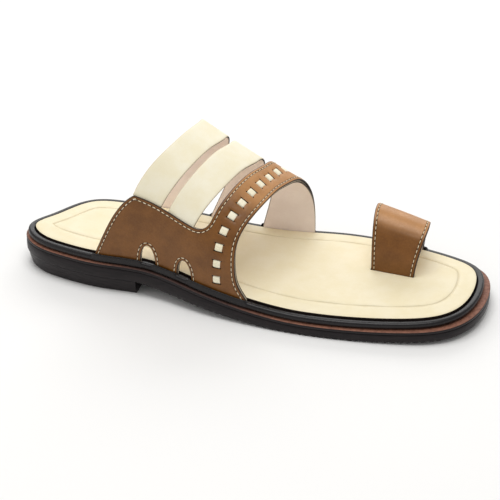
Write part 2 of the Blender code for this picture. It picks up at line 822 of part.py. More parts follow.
def make_binding():
    """A rolled strip round the insole, its inner side let in for each leg."""
    stations = [(knot, FIT) for knot in ring_knots()]
    for side, rear, front, out in legs():
        deep = sorted((knot_at(rear - LEG_ROOM, side), knot_at(front + LEG_ROOM, side)))
        room = LEG_ROOM + FIT
        bare = sorted((knot_at(rear - room, side), knot_at(front + room, side)))
        stations = [(k, out + FIT if deep[0] < k < deep[1] else inner) for k, inner in stations]
        near = STATION_CLEAR * LAST_KNOT
        stations = [s for s in stations if min(abs(s[0] - k) for k in deep + bare) > near]
        stations += [(k, out + FIT) for k in deep] + [(k, FIT) for k in bare]
    stations.sort()
    knots = np.array([k for k, _ in stations])
    inner = np.array([i for _, i in stations])
    outer = FIT + BINDING_WIDTH
    height = INSOLE_EDGE - FIT - np.where(inner > FIT, LEG_DROP, BINDING_DROP)
    rings = []
    for across, up in BINDING_SECTION:
        points = edge_points(knots, inner + (outer - inner) * across)
        rings.append(np.column_stack([points, ledge_z(points[:, 0]) + FIT + height * up]))
    count, around = len(knots), len(rings)
    faces = []
    for r in range(around):
        for i in range(count):
            j, s = (i + 1) % count, (r + 1) % around
            faces.append([r * count + i, r * count + j, s * count + j, s * count + i])
    new_object("binding", np.vstack(rings), faces, "black_binding")


def build():
    for thing in list(bpy.data.objects):
        bpy.data.objects.remove(thing, do_unlink=True)
    make_outsole()
    make_midsole()
    make_heel()
    cut_toe_slot(make_insole())
    make_binding()
    make_upper()
    make_overlay()
    make_lace()
    make_toe_loop()


build()
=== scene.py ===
# %% [markdown]
# # An open leather slipper, dressed over its solids
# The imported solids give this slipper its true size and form, in flat facets. Each piece is made
# again here as a fine mesh over the same last and the same outline, and then gets its finish.
# The script first loads the solids, because everything else has to lie where they lie.

# %% Load the solids
import json
import math

import bpy
import numpy as np
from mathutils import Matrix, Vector
from mathutils.geometry import delaunay_2d_cdt
from mathutils.kdtree import KDTree

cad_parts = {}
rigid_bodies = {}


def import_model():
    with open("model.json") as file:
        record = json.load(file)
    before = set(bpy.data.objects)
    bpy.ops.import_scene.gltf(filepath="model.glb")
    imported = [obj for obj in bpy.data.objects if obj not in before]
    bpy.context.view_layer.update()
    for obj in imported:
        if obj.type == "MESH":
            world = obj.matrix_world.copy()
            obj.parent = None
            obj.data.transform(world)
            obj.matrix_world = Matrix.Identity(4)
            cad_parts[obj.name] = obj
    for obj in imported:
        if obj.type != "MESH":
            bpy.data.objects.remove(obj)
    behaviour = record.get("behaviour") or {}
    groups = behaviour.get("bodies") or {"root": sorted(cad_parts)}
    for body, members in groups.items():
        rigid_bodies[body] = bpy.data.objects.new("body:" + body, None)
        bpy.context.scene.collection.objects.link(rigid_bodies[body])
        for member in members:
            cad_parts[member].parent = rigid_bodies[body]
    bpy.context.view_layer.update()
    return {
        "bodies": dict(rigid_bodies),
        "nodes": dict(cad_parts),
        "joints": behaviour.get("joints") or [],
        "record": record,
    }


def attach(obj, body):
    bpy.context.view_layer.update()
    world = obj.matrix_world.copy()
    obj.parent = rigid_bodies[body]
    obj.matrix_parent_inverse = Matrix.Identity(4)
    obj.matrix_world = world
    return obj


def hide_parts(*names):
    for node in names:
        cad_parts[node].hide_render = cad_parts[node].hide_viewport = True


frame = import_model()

print("solids:", sorted(frame["nodes"]))

# %% [markdown]
# ## The shoemaker's sizes
# A shoe is drawn from a few sizes of its last: length, width at the ball, height at the instep.
# They are repeated here from the solids' own source, in metres, so that both agree. Tables give
# places along the insole as shares of its length, and reaches as shares of the ball's width.

# %% Sizes of the sole
MM = 0.001
INSOLE_LENGTH = 0.282
BALL_WIDTH = 0.0940
HEEL_MIDDLE = 0.036
HEEL_BLOCK = 0.0098
SOLE_AT_HEEL = 0.0099
SOLE_AT_BALL = 0.0077
MIDSOLE = 0.0020
TOE_SPRING = 0.0031
RIM_AT_HEEL = 0.0014
RIM_AT_TOE = 0.0040
HEEL_TAPER = 0.0032
INSOLE_EDGE = 0.0060
INSOLE_CROWN = 0.0013
BINDING_WIDTH = 0.0047
BINDING_DROP = 0.0015
LEG_DROP = 0.0004
BREAST = 0.265
SLOPE_TOP = (0.225, 0.665)
SLOPE_BOTTOM = (0.266, 0.620)
SLOPE_POWER = 1.4
SPRING_START = 0.700
SPRING_POWER = 1.6
RIM_POWER = 6
FIT = 0.0003
OUTLINE_ROWS = (
    # along, outer, inner
    (0.030, 0.232, 0.042),
    (0.090, 0.300, 0.272),
    (0.180, 0.344, 0.316),
    (0.300, 0.351, 0.326),
    (0.420, 0.440, 0.349),
    (0.540, 0.499, 0.407),
    (0.650, 0.519, 0.484),
    (0.760, 0.504, 0.481),
    (0.860, 0.461, 0.414),
    (0.940, 0.380, 0.327),
    (0.985, 0.223, 0.226),
)
HEEL_TIP = -0.110
TOE_TIP = 0.031

# %% Sizes of the upper
INSTEP_HEIGHT = 0.0895
UPPER_WALL = 0.0014
OVERLAY_WALL = 0.0012
STRAP_BASE = 0.0008
LOOP_WALL = 0.0022
LOOP_HEIGHT_REAR = 0.0353
LOOP_HEIGHT_FRONT = 0.0286
LOOP_LEAN_REAR = -0.0018
LOOP_LEAN_FRONT = 0.0058
ARCH_WIDTH = 0.0098
ARCH_HEIGHT = 0.0104
LACE_WIDTH = 0.0047
LACE_PITCH = 0.0108
LEG_ROOM = 0.0011
SEAT = UPPER_WALL + OVERLAY_WALL + 2 * FIT
ARCHES = (0.294, 0.3825)
LOOP_REAR = 0.7645
LOOP_FRONT = 0.8625
LOOP_LENGTH = (LOOP_FRONT - LOOP_REAR) * INSOLE_LENGTH
TUCK = 0.022
BEYOND = 1 + TUCK
LACE_START = 0.040
LACE_END = 0.975
GAP_END = 0.190
VALLEY_TURN = 0.030
LOOP_TUCK = 0.045
INSTEP_ROWS = (
    # along, ridge height / INSTEP_HEIGHT, ridge's inward shift / BALL_WIDTH, outer fullness, inner fullness
    (0.160, 1.508, 0.221, 2.45, 2.62),
    (0.300, 1.240, 0.207, 2.45, 2.62),
    (0.426, 1.000, 0.195, 2.45, 2.62),
    (0.550, 0.763, 0.183, 2.45, 2.62),
    (0.660, 0.553, 0.172, 2.45, 2.62),
)
STRAP_ROWS = (
    # girth, strap 1 rear, strap 1 front, strap 2 rear, strap 2 front, front strap rear
    (0.150, 0.247, 0.311, 0.329, 0.393, 0.406),
    (0.200, 0.259, 0.324, 0.341, 0.405, 0.425),
    (0.300, 0.292, 0.356, 0.371, 0.435, 0.454),
    (0.400, 0.330, 0.387, 0.400, 0.462, 0.476),
    (0.500, 0.355, 0.409, 0.421, 0.481, 0.495),
    (0.600, 0.366, 0.424, 0.438, 0.499, 0.513),
    (0.800, 0.318, 0.388, 0.418, 0.488, 0.513),
    (1.000, 0.244, 0.329, 0.368, 0.449, 0.488),
)
FRONT_ROWS = (
    # girth, front edge, lace's middle
    (0.000, 0.530, 0.463),
    (0.050, 0.510, 0.461),
    (0.100, 0.503, 0.461),
    (0.150, 0.501, 0.463),
    (0.200, 0.503, 0.468),
    (0.300, 0.521, 0.487),
    (0.400, 0.541, 0.508),
    (0.500, 0.556, 0.525),
    (0.600, 0.573, 0.540),
    (0.800, 0.600, 0.556),
    (1.000, 0.605, 0.564),
)
QUARTER_ROWS = (
    # along, girth
    (0.170, 0.000),
    (0.197, 0.075),
    (0.220, 0.132),
    (0.243, 0.174),
    (0.262, 0.199),
)
QUARTER_TOP = (
    # along, girth
    (0.262, 0.199),
    (0.310, 0.198),
    (0.360, 0.190),
    (0.400, 0.186),
    (0.419, 0.193),
    (0.430, 0.206),
    (0.440, 0.232),
    (0.452, 0.290),
)
LOOP_NEAR = (0.070, 0.026)
LOOP_FULLNESS = 2.12
LEAN_POWER = 1.5
print(f"insole {INSOLE_LENGTH / MM:.0f} mm long, instep {INSTEP_HEIGHT / MM:.0f} mm high")

# %% [markdown]
# ## Curves through a few rows
# A pattern cutter joins a few measured points with a spline, a thin strip that bends evenly.
# A cubic spline does the same here, and every edge of the shoe is one of these curves.


# %% Splines
def spline(knots, rows, closed=False):
    """A cubic through the rows, as a function of the knots' measure."""
    knots = np.asarray(knots, float)
    rows = np.asarray(rows, float)
    count = len(knots)
    step = np.diff(knots)
    slope = np.diff(rows, axis=0) / step[:, None]
    system = np.eye(count)
    right = np.zeros_like(rows)
    for i in range(1, count - 1):
        system[i, i - 1 : i + 2] = step[i - 1], 2 * (step[i - 1] + step[i]), step[i]
        right[i] = 6 * (slope[i] - slope[i - 1])
    if closed:
        system[0] = 0
        system[0, [0, 1, count - 2]] = 2 * (step[-1] + step[0]), step[0], step[-1]
        right[0] = 6 * (slope[0] - slope[-1])
        system[-1, 0] = -1
    bend = np.linalg.solve(system, right)

    def curve(at):
        at = np.clip(np.asarray(at, float), knots[0], knots[-1])
        i = np.clip(np.searchsorted(knots, at, side="right") - 1, 0, count - 2)
        h = step[i][..., None]
        a = (knots[i + 1] - at)[..., None] / h
        b = 1 - a
        return a * rows[i] + b * rows[i + 1] + ((a**3 - a) * bend[i] + (b**3 - b) * bend[i + 1]) * h**2 / 6

    return curve


def column(table, number):
    """One column of a table against its first, as a function."""
    curve = spline([row[0] for row in table], [[row[number]] for row in table])
    return lambda at: curve(at)[..., 0]


def ease(share):
    share = np.clip(share, 0, 1)
    return share * share * (3 - 2 * share)


def dent(distance, width):
    """A soft trough of depth 1 at distance 0."""
    return np.exp(-((distance / width) ** 2))


# %% [markdown]
# ## The insole's outline and the sole's heights
# The insole's edge carries the whole shoe: binding, midsole and outsole lie at fixed distances
# outside it. Heights depend only on the place along the foot: a heel seat, a slope down to the
# ball, a flat spot under it, and the toe spring.

# %% Outline
MEASURE_POINTS = 401
SIDE_POINTS = 720


def outline_curve():
    outer = [(u * INSOLE_LENGTH, -w * BALL_WIDTH) for u, w, _ in OUTLINE_ROWS]
    inner = [(u * INSOLE_LENGTH, w * BALL_WIDTH) for u, _, w in OUTLINE_ROWS]
    heel = (0.0, HEEL_TIP * BALL_WIDTH)
    toe = (INSOLE_LENGTH, TOE_TIP * BALL_WIDTH)
    points = np.array([heel, *inner, toe, *outer[::-1], heel])
    points[:, 0] -= HEEL_MIDDLE
    knots = np.concatenate([[0], np.cumsum(np.sqrt(np.linalg.norm(np.diff(points, axis=0), axis=1)))])
    return spline(knots, points, closed=True), knots[len(inner) + 1], knots[-1]


OUTLINE, TOE_KNOT, LAST_KNOT = outline_curve()


def edge_points(at, offset):
    """Points at an offset outside the insole's outline."""
    nudge = LAST_KNOT * 1e-4
    run = OUTLINE((at + nudge) % LAST_KNOT) - OUTLINE((at - nudge) % LAST_KNOT)
    out = np.stack([run[:, 1], -run[:, 0]], axis=1)
    out /= np.linalg.norm(out, axis=1)[:, None]
    out *= -1 if (out[:, 1] * OUTLINE(at)[:, 1]).sum() < 0 else 1
    return OUTLINE(at) + out * np.reshape(offset, (-1, 1))


def side_table(inner):
    at = np.linspace(0 if inner else LAST_KNOT, TOE_KNOT, MEASURE_POINTS)
    points = OUTLINE(at)
    return at, np.maximum.accumulate(points[:, 0]), np.abs(points[:, 1])


OUTER_SIDE = side_table(False)
INNER_SIDE = side_table(True)


def reach(x, side):
    return np.interp(x, side[1], side[2])


def knot_at(x, side):
    return float(np.interp(x, side[1], side[0]))


def place_x(share):
    return share * INSOLE_LENGTH - HEEL_MIDDLE


def share_x(x):
    return (np.asarray(x, float) + HEEL_MIDDLE) / INSOLE_LENGTH


# %% Heights of the sole
def spring(u):
    return TOE_SPRING * np.clip((u - SPRING_START) / (1 - SPRING_START), 0, None) ** SPRING_POWER


def ledge_z(x):
    """Top of the midsole."""
    u = share_x(x)
    start, end = SLOPE_TOP
    heel = HEEL_BLOCK + SOLE_AT_HEEL
    return heel + (SOLE_AT_BALL - heel) * ease((u - start) / (end - start)) + spring(u)


def tread_z(x):
    """Underside of the outsole."""
    u = share_x(x)
    start, end = SLOPE_BOTTOM
    return HEEL_BLOCK * (1 - np.clip((u - start) / (end - start), 0, 1)) ** SLOPE_POWER + spring(u)


def insole_z(x):
    return ledge_z(x) + INSOLE_EDGE


def rim(x):
    """How far the midsole's edge lies outside the insole."""
    u = np.clip(share_x(x), 0, 1)
    return FIT + BINDING_WIDTH + RIM_AT_HEEL + (RIM_AT_TOE - RIM_AT_HEEL) * u**RIM_POWER


print(f"outline's knots run from 0 to {LAST_KNOT:.2f}, toe at {TOE_KNOT:.2f}")

# %% [markdown]
# ## The last
# Straps are flat leather pulled over a wooden last, so the last is the form to describe. Each
# section across it is a superellipse, a little fuller than a half circle, whose ridge leans to
# the big-toe side. It could be sculpted, but a formula matches the solids and lets every strap
# be cut from one form. A flat pattern point is a place along and a share of the way over.

# %% Sections of the last
RIDGE, SHIFT, OUTER_FULL, INNER_FULL = (column(INSTEP_ROWS, n) for n in (1, 2, 3, 4))
TURNS = np.linspace(math.pi, 0, 121)


def section(x, angle):
    u = share_x(x)
    base = insole_z(x) - STRAP_BASE
    shift = SHIFT(u) * BALL_WIDTH
    across, up = np.cos(angle), np.sin(angle)
    outer = across < 0
    full = np.where(outer, OUTER_FULL(u), INNER_FULL(u))
    half = np.where(outer, reach(x, OUTER_SIDE) + shift, reach(x, INNER_SIDE) - shift) + SEAT
    scale = (np.abs(across) ** full + np.abs(up) ** full) ** (-1 / full)
    return shift + half * across * scale, base + (RIDGE(u) * INSTEP_HEIGHT - base) * up * scale


def last_point(x, v):
    """The upper's outer face: x along, v the share of the way from the outer edge over to the inner."""
    x, v = np.atleast_1d(x).astype(float), np.atleast_1d(v).astype(float)
    y, z = section(x[:, None], TURNS[None])
    travelled = np.cumsum(np.hypot(np.diff(y, axis=1), np.diff(z, axis=1)), axis=1)
    shares = np.column_stack([0 * x, travelled / travelled[:, -1:]])
    angle = np.array([np.interp(over, row, TURNS) for over, row in zip(v, shares)])
    y, z = section(x, angle)
    beyond = np.maximum(-v, v - 1).clip(0) / TUCK
    base = insole_z(x) - STRAP_BASE
    return np.stack([x, y, z - beyond * (base - ledge_z(x) - FIT)], axis=-1)


def loop_point(w, v):
    """The toe loop's outer face: w from its rear to its front edge, v from the near leg over to the far."""
    near_rear, near_front = (share * BALL_WIDTH for share in LOOP_NEAR)
    near = near_rear + (near_front - near_rear) * w
    height = LOOP_HEIGHT_REAR + (LOOP_HEIGHT_FRONT - LOOP_HEIGHT_REAR) * w
    angle = np.pi * (1 - np.clip(v, 0, 1))
    across, up = np.cos(angle), np.sin(angle)
    lean = LOOP_LEAN_REAR + (LOOP_LEAN_FRONT - LOOP_LEAN_REAR) * w
    x = place_x(LOOP_REAR + (LOOP_FRONT - LOOP_REAR) * w) + lean * np.abs(up) ** LEAN_POWER
    far = reach(x, INNER_SIDE) + FIT + LOOP_WALL
    middle, half = (near + far) / 2, (far - near) / 2
    scale = (np.abs(across) ** LOOP_FULLNESS + np.abs(up) ** LOOP_FULLNESS) ** (-1 / LOOP_FULLNESS)
    base = insole_z(x)
    beyond = np.maximum(-v, v - 1).clip(0) / LOOP_TUCK
    z = base + height * up * scale - beyond * (base - ledge_z(x) - FIT)
    return np.stack([x, middle + half * across * scale, z], axis=-1)


def over_length(surface, a):
    """The way over a surface at one place along it, from one foot to the other."""
    line = surface(np.full(MEASURE_POINTS, a), np.linspace(0, 1, MEASURE_POINTS))
    return float(np.linalg.norm(np.diff(line, axis=0), axis=1).sum())


GIRTH = over_length(last_point, place_x(INSTEP_ROWS[len(INSTEP_ROWS) // 2][0]))
LOOP_GIRTH = over_length(loop_point, 0.5)
print(f"way over the instep {GIRTH / MM:.1f} mm, over the toe loop {LOOP_GIRTH / MM:.1f} mm")


# %% Flat pattern points laid on a form
def slopes(surface, a, b):
    """A surface's steps along and over at some points, and its outward normal there."""
    nudge = 1e-4
    run = (surface(a + nudge, b) - surface(a - nudge, b)) / (2 * nudge)
    over = (surface(a, b + nudge) - surface(a, b - nudge)) / (2 * nudge)
    normal = np.cross(run, over)
    return run, over, normal / np.linalg.norm(normal, axis=-1)[..., None]


class Form:
    """A form that leather lies on, with its flat pattern measured in metres."""

    def __init__(self, surface, length, girth, sheen_band):
        self.surface = surface
        self.scale = np.array([length, girth])
        self.sheen_band = sheen_band

    def lay(self, points, lift):
        a, b = (points / self.scale).T
        return self.surface(a, b) + slopes(self.surface, a, b)[2] * np.reshape(lift, (-1, 1))

    def frames(self, points):
        """Steps on the form of one pattern metre along and over, and the normal."""
        a, b = (points / self.scale).T
        run, over, normal = slopes(self.surface, a, b)
        return run / self.scale[0], over / self.scale[1], normal

    def stepped(self, points, direction, distance):
        """Pattern points moved a real distance along a direction on the form."""
        run, over, _ = self.frames(points)
        to_pattern = np.linalg.pinv(np.stack([run, over], axis=2))
        return points + np.einsum("nij,nj->ni", to_pattern, direction) * distance

    def sheen_share(self, points):
        """How much painted sheen a point gets, from 0 to 1: most over the form's ridge, where the overhead
        light falls.
        """
        rises, full, falls, done = self.sheen_band
        over = points[:, 1] / self.scale[1]
        return ease((over - rises) / (full - rises)) * ease((done - over) / (done - falls))


# The last four numbers bound the painted sheen over each form's top: where it rises, is full, falls and ends.
LAST = Form(last_point, 1.0, GIRTH, (0.30, 0.42, 0.72, 0.85))
TOE_FORM = Form(loop_point, LOOP_LENGTH, LOOP_GIRTH, (0.27, 0.40, 0.62, 0.80))

# %% [markdown]
# ## Filling a cut shape with small triangles
# Leather is cut along an outline, with holes. The outline and a field of inner points are joined
# by a constrained Delaunay triangulation, which keeps every cut edge. Two rows of points close
# behind each edge let it be rounded, and each point remembers how far it is from the edge,
# which the materials use for painted edges and sewn grooves.


# %% Cut shapes
def inside(points, loop):
    """Which points lie within a closed loop."""
    found = []
    x0, y0 = loop[:, 0], loop[:, 1]
    x1, y1 = np.roll(x0, -1), np.roll(y0, -1)
    for chunk in np.array_split(points, max(1, len(points) // 2000)):
        x, y = chunk[:, :1], chunk[:, 1:]
        with np.errstate(divide="ignore", invalid="ignore"):
            left = x < x0 + (y - y0) * (x1 - x0) / (y1 - y0)
        found.append((((y0 > y) != (y1 > y)) & left).sum(axis=1) % 2 == 1)
    return np.concatenate(found)


def edge_distance(points, loops):
    """Distance of each point from the nearest stretch of the loops, flat or in space."""
    spots = np.vstack(loops)
    before = np.vstack([np.roll(loop, 1, axis=0) for loop in loops])
    after = np.vstack([np.roll(loop, -1, axis=0) for loop in loops])
    deep = np.column_stack([spots, np.zeros((len(spots), 3 - spots.shape[1]))])
    tree = KDTree(len(spots))
    for n, spot in enumerate(deep):
        tree.insert(spot, n)
    tree.balance()
    queries = np.column_stack([points, np.zeros((len(points), 3 - points.shape[1]))])
    near = np.array([tree.find(q)[1] for q in queries])
    best = np.full(len(points), np.inf)
    for other in (before, after):
        start, run = spots[near], other[near] - spots[near]
        along = ((points - start) * run).sum(1) / (run**2).sum(1).clip(1e-18)
        spot = start + np.clip(along, 0, 1)[:, None] * run
        best = np.minimum(best, np.linalg.norm(points - spot, axis=1))
    return best


def flat_fill(loops, step, rows=()):
    """Triangles that fill the first loop less the others, and the points they join."""
    points = np.vstack(loops)
    edges = []
    first = 0
    for loop in loops:
        edges += [(first + i, first + (i + 1) % len(loop)) for i in range(len(loop))]
        first += len(loop)
    low, high = points.min(axis=0), points.max(axis=0)
    columns = np.arange(low[0], high[0], step)
    levels = np.arange(low[1], high[1], step * math.sqrt(3) / 2)
    grid = np.array([(c + step / 2 * (n % 2), r) for n, r in enumerate(levels) for c in columns])
    keep_off = [*loops, *rows]
    grid = grid[edge_distance(grid, keep_off) > 0.6 * step]
    grid = np.vstack([grid, *rows])
    within = inside(grid, loops[0])
    for loop in loops[1:]:
        within &= ~inside(grid, loop)
    flat, _, corners, *_ = delaunay_2d_cdt(np.vstack([points, grid[within]]).tolist(), edges, [], 0, 1e-8)
    flat = np.array([tuple(p) for p in flat])
    corners = np.array([list(f) for f in corners])
    middles = flat[corners].mean(axis=1)
    kept = inside(middles, loops[0])
    for loop in loops[1:]:
        kept &= ~inside(middles, loop)
    corners = corners[kept]
    a, b, c = (flat[corners[:, n]] for n in range(3))
    flipped = np.cross(b - a, c - a) < 0
    corners[flipped] = corners[flipped][:, ::-1]
    return flat, corners


def border(corners):
    """Directed edges with a face on one side only."""
    edges = {(int(a), int(b)) for f in corners for a, b in zip(f, [*f[1:], f[0]])}
    return [(a, b) for a, b in edges if (b, a) not in edges]


# %% Meshes from points and faces
SHARP = math.radians(50)


def placed(name, data):
    """A new object in the scene."""
    thing = bpy.data.objects.new(name, data)
    bpy.context.scene.collection.objects.link(thing)
    return thing


def piece(name, points, faces, finishes, numbers=None, values=None):
    """A mesh piece. numbers picks a finish for each face, and values are kept for each point."""
    mesh = bpy.data.meshes.new(name)
    mesh.from_pydata(np.asarray(points, float).tolist(), [], [[int(i) for i in f] for f in faces])
    for finish in finishes:
        mesh.materials.append(finish)
    if numbers is not None:
        mesh.polygons.foreach_set("material_index", np.asarray(numbers, np.int32))
    for label, amounts in (values or {}).items():
        field = mesh.attributes.new(label, "FLOAT", "POINT")
        field.data.foreach_set("value", np.asarray(amounts, np.float32))
    mesh.shade_smooth()
    mesh.set_sharp_from_angle(angle=SHARP)
    print(f"{name}: {len(points)} points, {len(mesh.polygons)} faces")
    return placed(name, mesh)


def two_sided(corners, top, under):
    """Points and faces of a closed wall, with a finish number for top, underside and cut edge."""
    count = len(top)
    faces = [tuple(f) for f in corners] + [tuple(count + i for i in f[::-1]) for f in corners]
    sides = [(b, a, count + a, count + b) for a, b in border(corners)]
    numbers = [0] * len(corners) + [1] * len(corners) + [2] * len(sides)
    return np.vstack([top, under]), faces + sides, numbers


def joined(walls):
    """Several closed walls as the points and faces of one piece."""
    points, faces = [], []
    for wall_points, wall_faces, _ in walls:
        first = sum(len(p) for p in points)
        points.append(wall_points)
        faces += [tuple(first + i for i in f) for f in wall_faces]
    return np.vstack(points), faces


def band(count, low, high):
    """Faces between two rings of a loft, given by their numbers."""
    i = np.arange(count)
    j = (i + 1) % count
    return np.column_stack([low * count + i, low * count + j, high * count + j, high * count + i]).tolist()


# %% [markdown]
# ## Finishes
# Colours are read off as screen hex values, and one function turns them to the linear light
# that shaders add up. Another adds a node with its settings and links. Leather is a protein
# fibre with an IOR near 1.5, so gloss comes from its wax and its roughness, not from metal.

# %% Colour and nodes
GRAIN = 1.1 * MM  # real calf grain is about half this, too fine to show at this size
FIBRE = 0.35 * MM
CLOUD = 14 * MM
SEAM_INSET = 2.0  # millimetres from a brown edge to its seam
UNPAINTED = 5.0  # millimetres from an edge, well past its paint
SMOOTH = {"interpolation_type": "SMOOTHSTEP"}
COLOURS = {"data_type": "RGBA"}
TIMES, PLUS, LESS, UNSIGNED = ({"operation": word} for word in ("MULTIPLY", "ADD", "SUBTRACT", "ABSOLUTE"))


def linear(code):
    """Linear colour of an sRGB hex value."""
    parts = [int(code[n : n + 2], 16) / 255 for n in (1, 3, 5)]
    return (*[p / 12.92 if p <= 0.04045 else ((p + 0.055) / 1.055) ** 2.4 for p in parts], 1.0)


def plug(tree, node, **sockets):
    """Gives a node's sockets a value, an output, or another node, whose first output in use they take.
    A socket is named with _ for a space, or n and its number."""
    for name, value in sockets.items():
        socket = node.inputs[int(name[1:]) if name[1:].isdigit() else name.replace("_", " ")]
        if isinstance(value, bpy.types.Node):
            value = next(output for output in value.outputs if output.enabled)
        if isinstance(value, bpy.types.NodeSocket):
            tree.links.new(value, socket)
        else:
            socket.default_value = value


def add(tree, kind, settings=(), **sockets):
    """Adds a node with its settings and links."""
    node = tree.nodes.new(kind)
    for name, value in dict(settings).items():
        setattr(node, name, value)
    plug(tree, node, **sockets)
    return node


def new_finish(name, **constants):
    """An empty material with its shader's constants set, and the place that its patterns read."""
    made = bpy.data.materials.new(name)
    made.use_nodes = True
    tree = made.node_tree
    shader = tree.nodes["Principled BSDF"]
    plug(tree, shader, **constants)
    return made, tree, shader, add(tree, "ShaderNodeTexCoord").outputs["Object"]


print("#808080 is", round(linear("#808080")[0], 3), "in linear light")


# %% Leather
def leather(
    name, light, dark, roughness, grain=0.06, gloss=0.5, groove=None, paint="#2E2320", speckle=0.25, sheen_colour=None
):
    """Dyed calf: clouded tone, pebbled grain, painted edge, painted shade in a groove at SEAM_INSET, painted
    sheen on top.
    """
    made, tree, shader, place = new_finish(name, IOR=1.5, Specular_IOR_Level=gloss)
    clouds, grains, fibres = (
        add(tree, "ShaderNodeTexNoise", Vector=place, Scale=1 / size, Detail=detail, Roughness=rough)
        for size, detail, rough in ((CLOUD, 3.0, 0.6), (GRAIN, 5.0, 0.7), (FIBRE, 2.0, 0.6))
    )
    edge, from_border, bend = (
        add(tree, "ShaderNodeAttribute", {"attribute_name": label}).outputs["Fac"]
        for label in ("edge", "seam", "bend")
    )
    cloud = add(tree, "ShaderNodeMapRange", SMOOTH, Value=clouds, From_Min=0.3, From_Max=0.7)
    fine = add(tree, "ShaderNodeMapRange", SMOOTH, Value=grains, From_Min=0.35, From_Max=0.75)
    clouded = add(tree, "ShaderNodeMath", TIMES, n0=cloud, n1=1 - speckle)
    speckled = add(tree, "ShaderNodeMath", TIMES, n0=fine, n1=speckle)
    tone = add(tree, "ShaderNodeMath", PLUS, n0=clouded, n1=speckled)
    colour = add(tree, "ShaderNodeMix", COLOURS, n0=tone, n6=linear(dark), n7=linear(light))
    # Painted sheen: a paler colour mixed in over the top of the form, where the overhead light falls
    if sheen_colour:
        sheen_share = add(tree, "ShaderNodeMapRange", SMOOTH, Value=tone, To_Min=0.75)
        painted_sheen = add(tree, "ShaderNodeMath", TIMES, n0=bend, n1=sheen_share)
        colour = add(tree, "ShaderNodeMix", COLOURS, n0=painted_sheen, n6=colour, n7=linear(sheen_colour))
    pebbles = add(tree, "ShaderNodeTexVoronoi", {"feature": "SMOOTH_F1"}, Vector=place, Scale=1 / GRAIN)
    normal = add(tree, "ShaderNodeBump", Height=pebbles, Distance=grain * MM)
    normal = add(tree, "ShaderNodeBump", Height=fibres, Distance=grain * MM / 2, Normal=normal)
    if groove:
        shade_colour, strength = groove
        past = add(tree, "ShaderNodeMath", LESS, n0=from_border, n1=SEAM_INSET)
        off = add(tree, "ShaderNodeMath", UNSIGNED, n0=past)
        hollow = add(tree, "ShaderNodeMapRange", SMOOTH, Value=off, From_Min=0.1, From_Max=0.75)
        normal = add(tree, "ShaderNodeBump", Height=hollow, Distance=0.35 * MM, Normal=normal)
        # Painted shade: the groove's colour darkened towards a shade colour, as if light fell less into the
        # hollow
        reach_of_groove_shade = {"From_Min": 0.15, "From_Max": 0.55, "To_Min": strength, "To_Max": 0.0}
        groove_shade = add(tree, "ShaderNodeMapRange", SMOOTH, Value=off, **reach_of_groove_shade)
        colour = add(tree, "ShaderNodeMix", COLOURS, n0=groove_shade, n6=colour, n7=linear(shade_colour))
    reach_of_paint = {"From_Min": 0.25, "From_Max": 0.6, "To_Min": 0.9, "To_Max": 0.0}
    painted = add(tree, "ShaderNodeMapRange", SMOOTH, Value=edge, **reach_of_paint)
    colour = add(tree, "ShaderNodeMix", COLOURS, n0=painted, n6=colour, n7=linear(paint))
    rough, waxed = roughness + 0.07, roughness - 0.07
    uneven = add(tree, "ShaderNodeMapRange", SMOOTH, Value=fine, To_Min=rough, To_Max=waxed)
    plug(tree, shader, Base_Color=colour, Roughness=uneven, Normal=normal)
    return made


# Full-grain calf, dyed cream and lightly waxed: an even, warm face with a soft sheen
CREAM = leather("cream_calf_leather", "#F8F1DA", "#F3E9C9", 0.48, grain=0.03, paint="#DDCDAE")
# Pull-up calf, tan dye under wax: cloudy brown, paler over the top of the foot by a painted sheen, with
# painted shade in its sewn groove
TAN = leather(
    "tan_calf_leather", "#84541F", "#693F10", 0.38, grain=0.05, gloss=0.42,
    # The last colour here is a painted sheen over the top of the foot, and the groove colour is painted shade
    # in the sewn groove
    groove=("#2E1808", 0.85), paint="#2A1A12", speckle=0.4, sheen_colour="#C08B57",
)
# Thin sheep leather over foam, pressed with a blunt wheel: matt cream, with painted shade darkening the
# pressed line
FOOTBED = leather(
    "cream_footbed_leather", "#EFE4C6", "#EADDB8", 0.52, grain=0.025,
    # The groove colour is painted shade in the pressed line
    groove=("#D3C196", 0.35), paint="#EADDB8",
)
# Undyed pigskin, only shaved: matt and a little pink beside the cream
LINING = leather("grey_beige_lining_leather", "#FAEDE6", "#F1E2DA", 0.62, grain=0.02, paint="#8A7A6C")
# Acrylic edge paint, rolled on and sanded: a dark, dull line that frames each strap
EDGE_PAINT = leather("edge_paint", "#2E211D", "#211815", 0.5, grain=0.02, gloss=0.3)
# Black leather glazed under a glass roller: narrow highlights along the roll
ROLLED = leather("black_glazed_leather", "#151012", "#0D090B", 0.3, grain=0.02, gloss=0.36, paint="#0B090B")
# Painted shade on the cream lace strip, which lies deep under the slits: coloured dark and dull, so that the
# windows look open
SHADOWED = leather("lace_strip_painted_shade", "#2B1E14", "#1C120B", 0.7)

# %% [markdown]
# The ledge is cut leather board, reddish and a little fibrous, with a painted shadow along the waist, where
# the quarter shades it. The outsole's side is sanded and inked nearly black, with faint rubbing marks that
# run along it.


# %% Sole finishes
SHADED_WAIST = ((-0.005, 0.045), (0.095, 0.140))  # where the painted shadow on the ledge begins and ends, under the quarter
BOARD_FIBRE = 2.2 * MM


